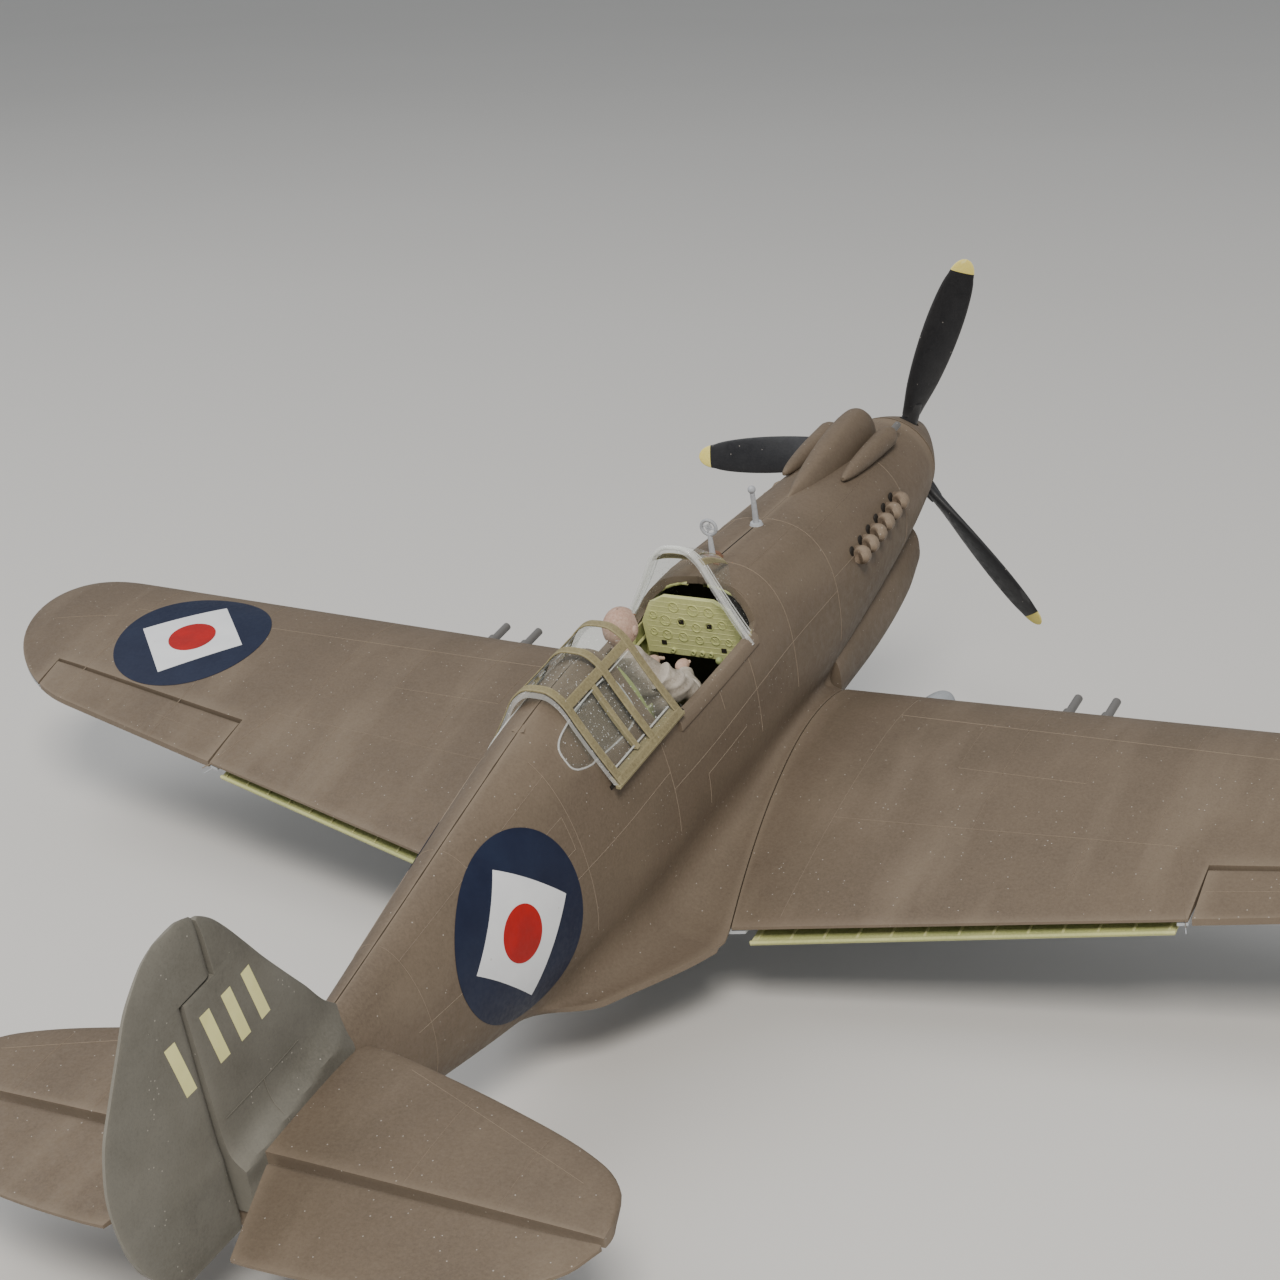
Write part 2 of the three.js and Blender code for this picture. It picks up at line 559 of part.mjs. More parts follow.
const SHAFT = { radius: 0.055, end: 1.15, bearing: 0.11 };
function noseBore() {
  const [wide, narrow] = [SHAFT.bearing + GAP, SHAFT.radius + GAP];
  const pocket = rod([0, NOSE - 0.1, 0], [0, NOSE + 0.14, 0], wide, wide, 24);
  return pocket.add(rod([0, NOSE, 0], [0, SHAFT.end + GAP, 0], narrow, narrow, 16));
}

function fuselageHalves() {
  let body = fuselageBody().add(filletBody()).subtract(wingSaddle());
  body = body.add(finBody().intersect(box([-1, 7, 0.3], [1, FIN.hinge, 2])));
  body = body.subtract(cockpitWell()).subtract(noseBore()).subtract(canopyGroove());
  body = body.subtract(box([-0.2, FIN.hinge - GAP, -0.02], [0.2, 10, 2]));
  for (const side of Object.values(SIDES)) {
    const recess = windowOutline(side, 0).subtract(fuselageBody(-REAR_WINDOW.depth));
    body = body.subtract(recess).subtract(tailSlot(side));
  }
  return Object.fromEntries(Object.entries(SIDES).map(([name, side]) => {
    const keep = side > 0 ? box([GAP / 2, -1, -3], [3, 12, 3]) : box([-3, -1, -3], [-GAP / 2, 12, 3]);
    return [name, largest(body.intersect(keep))];
  }));
}

// Slot in the fuselage side for the root of each stabilizer.
function tailSlot(side) {
  const grow = (half) => (x, y) => half(x, y) + (half(x, y) > TAILPLANE.level ? GAP : -GAP);
  const stations = [TAILPLANE.inner - GAP, 0.5].map((x) => side * x);
  return blade(stations, () => 7.7, () => TAILPLANE.hinge, grow(tailUpper), grow(tailLower), flat, 4);
}

// Deep chin cowling that holds the radiators, with an open mouth.
const CHIN = { front: 0.86, rear: 2.58, mouth: 1.12 };
const chinWidth = smooth([[0.86, 0.28], [1.2, 0.33], [1.8, 0.37], [2.58, 0.41]]);
const chinTop = smooth([[0.86, -0.3], [1.4, -0.3], [2.58, -0.3]]);
const chinBottom = smooth([[0.86, -0.74], [1.2, -0.83], [1.8, -0.88], [2.58, -0.84]]);
function chinRing(y, shrink) {
  const [low, high] = [chinBottom(y) + shrink, chinTop(y) - shrink];
  return range(20).map((i) => {
    const angle = (i / 20) * 2 * Math.PI;
    const reach = (value) => Math.sign(value) * Math.abs(value) ** 0.75;
    const z = (low + high) / 2 + ((high - low) / 2) * reach(Math.cos(angle));
    return new THREE.Vector3((chinWidth(y) - shrink) * reach(Math.sin(angle)), y, z);
  });
}
function chinCowling() {
  const outer = loft(steps(CHIN.front, CHIN.rear, 5).map((y) => chinRing(y, 0)));
  const mouth = loft([CHIN.front - 0.1, CHIN.mouth].map((y) => chinRing(y, 0.045)));
  const cut = fuselageBody(GAP);
  return largest(outer.subtract(cut).subtract(mouth));
}

// Carburettor scoop along the top of the nose, with an open mouth.
const SCOOP = { front: 0.98, rear: 2.25 };
const scoopTop = smooth([[0.98, 0.6], [1.2, 0.645], [1.6, 0.64], [2.0, 0.59], [2.25, 0.545]]);
const scoopWidth = smooth([[0.98, 0.115], [1.5, 0.12], [2.0, 0.085], [2.25, 0.03]]);
function scoopRing(y, shrink, base) {
  return range(13).map((i) => {
    const angle = mix(-Math.PI / 2, Math.PI / 2, i / 12);
    const x = (scoopWidth(y) - shrink) * Math.sign(angle) * Math.abs(Math.sin(angle)) ** 0.8;
    return new THREE.Vector3(x, y, base + (scoopTop(y) - shrink - base) * Math.cos(angle) ** 0.7 + 0.002);
  });
}
function carburettorScoop() {
  const outer = loft(steps(SCOOP.front, SCOOP.rear, 5).map((y) => scoopRing(y, 0, 0.3)));
  const mouth = loft([SCOOP.front - 0.1, SCOOP.front + 0.12].map((y) => scoopRing(y, 0.035, 0.42)));
  return largest(outer.subtract(fuselageBody(THIN)).subtract(mouth));
}

// Long tapered fairing over each nose gun, and the blast tube that leaves it.
const NOSE_GUN = { x: 0.215, front: 1.02, rear: 1.82, tube: 0.88, z: 0.385, radius: 0.024 };
function gunFairing(side) {
  const { x, front, rear, z } = NOSE_GUN;
  const ring = (y) => {
    const share = (y - front) / (rear - front);
    const radius = 0.072 * Math.sqrt(1 - share * share * 0.9);
    return range(12).map((i) => {
      const angle = (i / 12) * 2 * Math.PI;
      const rise = z + 0.05 + share * 0.055;
      return new THREE.Vector3(side * x + radius * Math.sin(angle), y, rise + radius * Math.cos(angle));
    });
  };
  const bore = rod([side * x, NOSE_GUN.tube - 0.1, z + 0.05], [side * x, 1.22, z + 0.05],
    NOSE_GUN.radius + GAP);
  return largest(loft(steps(front, rear, 5).map(ring)).subtract(fuselageBody(THIN)).subtract(bore));
}
function noseGun(side) {
  const { x, z, radius, tube } = NOSE_GUN;
  const barrel = rod([side * x, tube, z + 0.05], [side * x, 1.2, z + 0.05], radius);
  return barrel.subtract(rod([side * x, tube - 0.1, z + 0.05], [side * x, tube + 0.08, z + 0.05], 0.012));
}

// Six ejector stubs on a common strip along each side of the engine.
const STACK = { front: 1.45, pitch: 0.155, count: 6, z: 0.17, radius: 0.05 };
function exhaustStacks(side) {
  const wall = (y) => halfWidth(y) * 0.985;
  const last = STACK.front + STACK.pitch * (STACK.count - 1);
  const strip = loft([STACK.front - 0.1, last + 0.1].map((y) => [
    [wall(y) - 0.06, STACK.z - 0.055], [wall(y) + 0.012, STACK.z - 0.055],
    [wall(y) + 0.012, STACK.z + 0.045], [wall(y) - 0.06, STACK.z + 0.045],
  ].map(([x, z]) => new THREE.Vector3(side * x, y, z))));
  const stubs = range(STACK.count).map((i) => {
    const y = STACK.front + i * STACK.pitch;
    const from = [side * (wall(y) - 0.05), y - 0.02, STACK.z - 0.005];
    const to = [side * (wall(y) + 0.07), y + 0.065, STACK.z - 0.005];
    return rod(from, to, STACK.radius, STACK.radius * 0.94, 8);
  });
  return largest(union([strip, ...stubs]).subtract(fuselageBody(THIN)));
}

// ---- sights and guns -----------------------------------------------------------------------------

const BEAD = { y: 2.73, top: 0.84, radius: 0.014 };
const RING = { x: 0.03, y: 3.3, z: 0.86, radius: 0.052 };
function beadSight() {
  const foot = cowlTop(BEAD.y) + THIN;
  const post = rod([0, BEAD.y, foot], [0, BEAD.y, BEAD.top], 0.02, BEAD.radius, 8);
  const bead = moved(new THREE.SphereGeometry(0.026, 8, 6), [0, BEAD.y, BEAD.top]);
  return union([post, bead, rod([0, BEAD.y, foot], [0, BEAD.y, foot + 0.015], 0.045, 0.035, 10)]);
}
function ringSight() {
  const foot = cowlTop(RING.y) + THIN;
  const { x, y, z, radius } = RING;
  const disc = rod([x, y - 0.012, z], [x, y + 0.012, z], radius, radius, 20);
  const stalk = rod([x, y, foot], [x, y, z - radius * 0.6], 0.02, 0.012, 8);
  return union([disc, stalk, rod([x, y, foot], [x, y, foot + 0.02], 0.05, 0.036, 10)]);
}

const WING_GUN = { inner: 1.976, outer: 2.23, proud: 0.2, radius: 0.03 };
function wingGun(x) {
  const from = leadEdge(x);
  const z = chordLevel(x, from) + 0.02;
  const barrel = rod([x, from - WING_GUN.proud, z], [x, from - GAP / 3, z], WING_GUN.radius);
  return barrel.subtract(rod([x, from - 0.3, z], [x, from - WING_GUN.proud + 0.08, z], 0.014, 0.014, 8));
}

// ---- propeller -----------------------------------------------------------------------------------

const PROP = { y: 0.44, tip: 1.63, root: 0.11, boss: 0.075, rest: -0.41 };
const SPINNER = { length: 0.6, radius: 0.34 };
const spinnerRadius = (share) => SPINNER.radius * (1 - (1 - share) ** 1.1) ** 0.8;
const bladeChord = smooth([
  [0.3, 0.14], [0.6, 0.235], [1.0, 0.27], [1.35, 0.235], [1.55, 0.15], [1.63, 0.04],
]);
const bladePitch = smooth([[0.3, 0.95], [0.8, 0.62], [1.63, 0.36]]);

function propellerBlade(angle) {
  const rings = [0.33, 0.6, 0.9, 1.2, 1.42, 1.55, PROP.tip].map((r) => {
    const pitch = bladePitch(r);
    return range(8).map((i) => {
      const turn = (i / 8) * 2 * Math.PI;
      const along = (bladeChord(r) / 2) * Math.cos(turn);
      const thick = mix(0.045, 0.01, r / PROP.tip) * Math.sin(turn);
      const x = -along * Math.cos(pitch) + thick * Math.sin(pitch);
      const y = PROP.y - along * Math.sin(pitch) - thick * Math.cos(pitch);
      return new THREE.Vector3(x, y, r);
    });
  });
  const shank = rod([0, PROP.y, PROP.root], [0, PROP.y, 0.44], PROP.boss * 0.8, PROP.boss * 0.6, 12);
  return turned(loft(rings).add(shank), [0, PROP.y, 0], [0, 1, 0], angle);
}
function spinnerShell() {
  const profile = steps(0, 1, 8).map((t) =>
    new THREE.Vector2(spinnerRadius(t), t * SPINNER.length));
  profile[0].set(0, 0);
  profile.push(new THREE.Vector2(0, SPINNER.length));
  const shape = solid(new THREE.LatheGeometry(profile, 24));
  const holes = range(3).map((i) => {
    const clearance = PROP.boss * 0.8 + GAP;
    const hole = rod([0, PROP.y, PROP.root - GAP], [0, PROP.y, 0.6], clearance, clearance, 12);
    return turned(hole, [0, PROP.y, 0], [0, 1, 0], PROP.rest + (i * 2 * Math.PI) / 3);
  });
  return holes.reduce((shell, hole) => shell.subtract(hole), shape);
}
function propellerHub() {
  const { radius, length } = SPINNER;
  const plate = rod([0, length + GAP, 0], [0, NOSE - GAP, 0], radius, radius, 36);
  return plate.add(rod([0, NOSE - GAP * 2, 0], [0, SHAFT.end, 0], SHAFT.radius, SHAFT.radius, 16));
}
function propellerBearing() {
  const { radius, bearing } = SHAFT;
  const ring = rod([0, NOSE + GAP / 2, 0], [0, NOSE + 0.14 - GAP, 0], bearing, bearing, 24);
  return ring.subtract(rod([0, NOSE - 1, 0], [0, NOSE + 1, 0], radius + GAP, radius + GAP, 16));
}

// ---- undercarriage --------------------------------------------------------------------------------

const GEAR = { x: 1.25, y: 2.76, axle: -1.56, tyre: 0.381, tyreHalf: 0.105, rim: 0.2 };
const TAILWHEEL = { y: 8.02, axle: -0.49, radius: 0.19, half: 0.06, fork: 0.09 };

const tyreProfile = (outer, inner, half) => {
  const crown = range(7).map((i) => {
    const angle = mix(-Math.PI / 2, Math.PI / 2, i / 6);
    return [mix(inner, outer, Math.cos(angle) ** 0.75), half * Math.sin(angle)];
  });
  return [[inner, -half * 0.75], ...crown.slice(1, -1), [inner, half * 0.75], [inner, -half * 0.75]];
};

function mainTyre(side) {
  const { x, y, axle, tyre, rim, tyreHalf } = GEAR;
  return wheelShape(tyreProfile(tyre, rim, tyreHalf), [side * x, y, axle], 28);
}
function mainHub(side) {
  const rim = GEAR.rim - GAP;
  const profile = [[0.035, -0.075], [rim, -0.075], [rim, 0.075], [0.035, 0.075], [0.035, -0.075]];
  return wheelShape(profile, [side * GEAR.x, GEAR.y, GEAR.axle], 20);
}
function gearLeg(side) {
  const inboard = side * (GEAR.x - 0.19);
  const top = underChord(inboard, 2.95) - GAP;
  const oleo = rod([inboard, GEAR.y, GEAR.axle], [inboard, 2.95, top + 0.03], 0.045, 0.055, 14);
  const sleeve = rod([inboard, 2.86, -1.2], [inboard, 2.95, top + 0.03], 0.07, 0.075, 14);
  const outboard = side * (GEAR.x + 0.085);
  const axle = rod([inboard, GEAR.y, GEAR.axle], [outboard, GEAR.y, GEAR.axle], 0.024, 0.024, 12);
  const scissor = [
    rod([inboard, 2.84, -1.24], [inboard, 2.98, -1.36], 0.026, 0.02, 8),
    rod([inboard, 2.98, -1.36], [inboard, 2.79, -1.48], 0.02, 0.026, 8),
  ];
  return largest(union([oleo, sleeve, axle, ...scissor]).subtract(wingClearance(side)));
}
function wingClearance(side) {
  const stations = [0.9, 1.25, 1.7].map((x) => side * x);
  const front = (x) => leadEdge(x) - GAP;
  return blade(stations, front, trailEdge, () => 1, (x, y) => underChord(x, y) - GAP, flat, 12);
}
// Streamlined fairing that houses the knuckle of the leg under the wing's leading edge.
function gearFairing(side) {
  const ring = (y) => {
    const share = (y - 2.38) / 1.3;
    const radius = 0.2 * Math.sqrt(Math.max(0.03, 4 * share * (1 - share))) * mix(1.1, 0.8, share);
    return range(16).map((i) => {
      const angle = (i / 16) * 2 * Math.PI;
      const x = side * (GEAR.x - 0.19) + radius * 0.75 * Math.sin(angle);
      return new THREE.Vector3(x, y, -0.74 + radius * Math.cos(angle));
    });
  };
  const pod = loft([0, 0.06, 0.18, 0.35, 0.55, 0.75, 0.92, 1].map((t) => ring(mix(2.4, 3.66, t))));
  const inboard = side * (GEAR.x - 0.19);
  const leg = rod([inboard, 2.86, -1.2], [inboard, 2.96, -0.6], 0.08 + GAP, 0.1 + GAP, 14);
  return largest(pod.subtract(wingClearance(side)).subtract(leg));
}
function gearDoor(side) {
  const x = side * (GEAR.x - 0.31);
  const thick = side * -0.02;
  const outline = [[2.7, -0.98], [3.12, -0.96], [3.1, -1.3], [2.84, -1.45], [2.68, -1.4]];
  return loft([x, x + thick].map((at) => outline.map(([y, z]) => new THREE.Vector3(at, y, z))))
    .add(rod([x, 2.88, -1.1], [side * (GEAR.x - 0.275), 2.88, -1.1], 0.03, 0.03, 8));
}
function tailStrut() {
  const { y, axle, half, fork } = TAILWHEEL;
  const top = bellyLine(y) - GAP;
  const post = rod([0, y - 0.17, top + 0.01], [0, y - 0.1, -0.26], 0.04, 0.036, 12);
  const bridge = box([-fork, y - 0.14, -0.275], [fork, y - 0.06, -0.235]);
  const arms = Object.values(SIDES).map((side) => {
    const outer = side * (half + 0.03);
    return rod([outer, y - 0.1, -0.255], [outer, y, axle], 0.018, 0.018, 8);
  });
  const pin = rod([-half - 0.035, y, axle], [half + 0.035, y, axle], 0.016, 0.016, 10);
  return largest(union([post, bridge, ...arms, pin]).subtract(fuselageBody(GAP)));
}
function tailTyre() {
  const { y, axle, radius, half } = TAILWHEEL;
  const profile = tyreProfile(radius, 0.09, half);
  return wheelShape(profile, [0, y, axle], 16);
}
function tailHub() {
  const rim = 0.09 - GAP;
  const profile = [[0.028, -0.05], [rim, -0.05], [rim, 0.05], [0.028, 0.05], [0.028, -0.05]];
  return wheelShape(profile, [0, TAILWHEEL.y, TAILWHEEL.axle], 12);
}

// ---- cockpit ----------------------------------------------------------------------------------------

const PILOT = { y: 4.52, head: [0.05, 4.465, 0.82], headRadius: 0.105 }; // leaning to the left
function cockpitFloor() {
  const { front, rear, halfWidth: half, floor } = COCKPIT;
  return box([-half + GAP, front + GAP, floor + GAP], [half - GAP, rear - GAP, floor + GAP + 0.04]);
}
function instrumentPanel() {
  const right = [[-0.17, 0.605], [-0.27, 0.55], [-0.335, 0.42], [-0.32, 0.2]];
  const outline = [...right, ...right.toReversed().map(([x, z]) => [-x, z])];
  return loft([3.72, 3.76].map((y) => outline.map(([x, z]) => new THREE.Vector3(x, y, z))));
}
function pilotSeat() {
  const base = COCKPIT.floor + 0.04 + GAP * 2;
  const back = box([-0.24, 4.8, base], [0.24, 4.85, 0.5]);
  const arms = Object.values(SIDES).map((side) => {
    const [a, b] = [side * 0.24, side * 0.205].toSorted((p, q) => p - q);
    return box([a, 4.36, base], [b, 4.84, 0.02]);
  });
  return union([box([-0.24, 4.36, base], [0.24, 4.82, -0.12]), back, ...arms]);
}
function controlStick() {
  const base = COCKPIT.floor + 0.04 + GAP * 2;
  const stick = rod([0, 4.04, base], [0, 4.08, 0.12], 0.016, 0.014, 8);
  const grip = moved(new THREE.SphereGeometry(0.032, 8, 6), [0, 4.08, 0.13]);
  return union([stick, grip, rod([0, 4.04, base], [0, 4.04, base + 0.03], 0.05, 0.03, 8)]);
}
function pilotBody() {
  const torso = loft([[-0.1, 0.19, 0.14], [0.15, 0.18, 0.13], [0.4, 0.235, 0.14], [0.56, 0.21, 0.11],
    [0.66, 0.08, 0.07], [0.71, 0.06, 0.06]].map(([z, wide, deep]) => range(12).map((i) => {
      const angle = (i / 12) * 2 * Math.PI;
      const lean = PILOT.y - (0.6 - z) * 0.12;
      return new THREE.Vector3(wide * Math.sin(angle), lean + deep * Math.cos(angle), z);
    })));
  const limbs = Object.values(SIDES).flatMap((side) => [
    rod([side * 0.22, 4.56, 0.52], [side * 0.25, 4.34, 0.3], 0.075, 0.062, 8),
    rod([side * 0.25, 4.35, 0.3], [side * 0.11, 4.12, 0.36], 0.062, 0.045, 8),
    rod([side * 0.1, 4.6, -0.02], [side * 0.14, 4.2, 0.04], 0.09, 0.075, 8),
    rod([side * 0.14, 4.22, 0.03], [side * 0.15, 4.13, -0.2], 0.07, 0.05, 8),
  ]);
  return union([torso, ...limbs]);
}
function pilotHead() {
  const skull = new THREE.SphereGeometry(PILOT.headRadius, 14, 10).scale(0.86, 1, 1.05);
  return moved(skull, PILOT.head);
}

// ---- assembly ----------------------------------------------------------------------------------------

const airframe = new THREE.Group();
function add(name, made, material) {
  const mesh = new THREE.Mesh(geometryOf(made), material);
  mesh.name = name;
  airframe.add(mesh);
}

const halves = fuselageHalves();
const windscreen = windscreenParts();
const canopy = canopyParts();

add("chin_cowling", chinCowling(), OLIVE);
add("carburettor_scoop", carburettorScoop(), OLIVE);
add("ring_sight", ringSight(), SIGHT_GREY);
add("bead_sight", beadSight(), SIGHT_GREY);
add("spinner", spinnerShell(), OLIVE);
add("propeller_hub", propellerHub(), GUNMETAL);
add("propeller_bearing", propellerBearing(), SILVER);
range(3).forEach((i) => {
  add("propeller_blade_" + (i + 1), propellerBlade(PROP.rest + (i * 2 * Math.PI) / 3), BLACK);
});
add("lower_wing", lowerWing(), BELLY_GREY);
add("rudder", rudder(), OLIVE);
add("tail_wheel_strut", tailStrut(), SILVER);
add("tail_tyre", tailTyre(), TYRE);
add("tail_wheel_hub", tailHub(), SILVER);
add("cockpit_floor", cockpitFloor(), COCKPIT_GREEN);
add("instrument_panel", instrumentPanel(), YELLOW_GREEN);
add("pilot_seat", pilotSeat(), SEAT);
add("control_stick", controlStick(), BLACK);
add("pilot_body", pilotBody(), FLYING_SUIT);
add("pilot_head", pilotHead(), SKIN);
add("windscreen_glass", windscreen.glass, CLEAR);
add("windscreen_frame", windscreen.frame, YELLOW_GREEN);
add("canopy_glass", canopy.glass, CLEAR);
add("canopy_frame", canopy.frame, YELLOW_GREEN);
for (const [name, side] of Object.entries(SIDES)) {
  add(name + "_fuselage_half", halves[name], OLIVE);
  add(name + "_gun_fairing", gunFairing(side), OLIVE);
  add(name + "_nose_gun", noseGun(side), GUNMETAL);
  add(name + "_exhaust_stacks", exhaustStacks(side), EXHAUST);
  add(name + "_upper_wing", upperWing(side), OLIVE);
  add(name + "_flap", flap(side), YELLOW_GREEN);
  add(name + "_aileron", aileron(side), OLIVE);
  add(name + "_inner_wing_gun", wingGun(side * WING_GUN.inner), GUNMETAL);
  add(name + "_outer_wing_gun", wingGun(side * WING_GUN.outer), GUNMETAL);
  add(name + "_stabilizer", stabilizer(side), OLIVE);
  add(name + "_elevator", elevator(side), OLIVE);
  add(name + "_gear_leg", gearLeg(side), SILVER);
  add(name + "_gear_fairing", gearFairing(side), BELLY_GREY);
  add(name + "_gear_door", gearDoor(side), BELLY_GREY);
  add(name + "_tyre", mainTyre(side), TYRE);
  add(name + "_wheel_hub", mainHub(side), SILVER);
  add(name + "_rear_window", rearWindow(side), CLEAR);
}

// Stand the model on its wheels: the pitch that brings both tyres to one level.
const run = TAILWHEEL.y - GEAR.y;
const drop = GEAR.axle - TAILWHEEL.axle;
const groundAngle =
  Math.asin((GEAR.tyre - TAILWHEEL.radius) / Math.hypot(run, drop)) - Math.atan2(drop, run);
airframe.scale.setScalar(MM_PER_METRE);
airframe.rotation.x = -groundAngle;

const group = new THREE.Group();
group.add(airframe);
group.updateMatrixWorld(true);
const bounds = new THREE.Box3().setFromObject(airframe, true);
const middle = bounds.getCenter(new THREE.Vector3());
airframe.position.set(-middle.x, -middle.y, -bounds.min.z);

export default group;
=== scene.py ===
"""The looks of a 1:48 display model of a long-nosed propeller fighter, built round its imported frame.

Shapes are worked out in metres of the full-size aircraft in level flight: +X is the left wing, +Y runs
aft from the spinner tip along the thrust line and +Z is up. `placed` takes them to the model's frame.
"""
import json
import math

import bmesh
import bpy
import numpy as np
from mathutils import Matrix, Vector


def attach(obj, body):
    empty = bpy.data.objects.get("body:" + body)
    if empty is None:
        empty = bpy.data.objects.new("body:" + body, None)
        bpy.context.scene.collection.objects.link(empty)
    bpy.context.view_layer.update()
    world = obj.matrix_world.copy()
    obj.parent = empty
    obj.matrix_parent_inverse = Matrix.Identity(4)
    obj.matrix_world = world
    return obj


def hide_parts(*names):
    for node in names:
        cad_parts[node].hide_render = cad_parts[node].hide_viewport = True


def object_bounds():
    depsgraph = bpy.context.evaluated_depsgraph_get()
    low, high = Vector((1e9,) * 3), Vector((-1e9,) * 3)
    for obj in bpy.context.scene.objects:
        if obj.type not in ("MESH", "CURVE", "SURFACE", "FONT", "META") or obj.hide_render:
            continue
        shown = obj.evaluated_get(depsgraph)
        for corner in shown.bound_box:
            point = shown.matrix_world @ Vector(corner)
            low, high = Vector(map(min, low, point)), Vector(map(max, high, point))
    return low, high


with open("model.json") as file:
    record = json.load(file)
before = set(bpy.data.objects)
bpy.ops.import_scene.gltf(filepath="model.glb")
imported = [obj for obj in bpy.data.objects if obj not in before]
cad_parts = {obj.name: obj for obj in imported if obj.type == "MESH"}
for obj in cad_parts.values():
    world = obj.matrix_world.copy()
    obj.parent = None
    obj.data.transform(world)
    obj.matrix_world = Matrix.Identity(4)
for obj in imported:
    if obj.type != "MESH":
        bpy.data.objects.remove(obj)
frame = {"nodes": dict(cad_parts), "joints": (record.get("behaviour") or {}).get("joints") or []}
cad_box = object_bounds()

# ---- the frame's own axes ------------------------------------------------------------------------

JOINTS = {joint["name"]: joint for joint in frame["joints"]}
MODEL_SCALE = 48
PROP_Y = 0.44
AFT = -np.array(JOINTS["propeller_spin"]["axis"])
UP = np.array(JOINTS["rudder_hinge"]["axis"])
AXES = np.array([[1, 0, 0], AFT, UP]) / MODEL_SCALE
ORIGIN = np.array(JOINTS["propeller_spin"]["pos_m"]) - PROP_Y * AXES[1]
SIDES = {"left": 1, "right": -1}
MERGE = 2e-6  # metres of the model
SHARP = 38  # degrees between faces past which an edge is drawn sharp


def placed(points):
    """Points of the full-size aircraft, in metres, in the model's frame."""
    return np.asarray(points, float) @ AXES + ORIGIN


def mix(a, b, t):
    return a + (b - a) * t


def ease(value, low, high):
    """0 below low, 1 above high and a smooth rise between them."""
    t = np.clip((value - low) / (high - low), 0, 1)
    return t * t * (3 - 2 * t)


def smooth(*pairs):
    """A smooth curve through (position, value) pairs, held at its end values beyond them."""
    xs, values = np.array(pairs, float).T
    last = len(xs) - 1
    before = np.maximum(np.arange(last + 1) - 1, 0)
    after = np.minimum(np.arange(last + 1) + 1, last)
    slopes = (values[after] - values[before]) / (xs[after] - xs[before])

    def curve(position):
        x = np.clip(position, xs[0], xs[-1])
        i = np.clip(np.searchsorted(xs, x) - 1, 0, last - 1)
        step = xs[i + 1] - xs[i]
        t = (x - xs[i]) / step
        bend = slopes[i] * step * t * (1 - t) ** 2 + slopes[i + 1] * step * t * t * (t - 1)
        return mix(values[i], values[i + 1], t * t * (3 - 2 * t)) + bend

    return curve


def points_of(x, y, z):
    return np.stack(np.broadcast_arrays(x, y, z), -1).astype(float)


def turns(count):
    """Angles spread evenly round a full turn."""
    return np.arange(count) * 2 * np.pi / count


def ramp(count):
    """Shares from 0 to 1 that crowd towards 0, as stations do at a rounded edge."""
    return 1 - np.cos(np.linspace(0, np.pi / 2, count))


def nosed(nose, near, far):
    """Shares of a chord that crowd into its rounded nose, and how full the chord's thickness is at each."""
    share = np.concatenate([ramp(near) * nose, np.linspace(nose, 1, far)[1:]])
    return share, np.sqrt(1 - (1 - np.minimum(share / nose, 1)) ** 2)


def foil(u):
    """Half thickness of an aerofoil of unit half thickness."""
    return 10 * (0.2969 * np.sqrt(u) + u * (-0.126 + u * (-0.3516 + u * (0.2843 - 0.1015 * u))))


def bezier(start, leave, arrive, end, t):
    """A cubic curve by its end values and the handles next to them."""
    u = 1 - t
    return u**3 * start + 3 * t * u**2 * leave + 3 * t * t * u * arrive + t**3 * end


# ---- building meshes -----------------------------------------------------------------------------


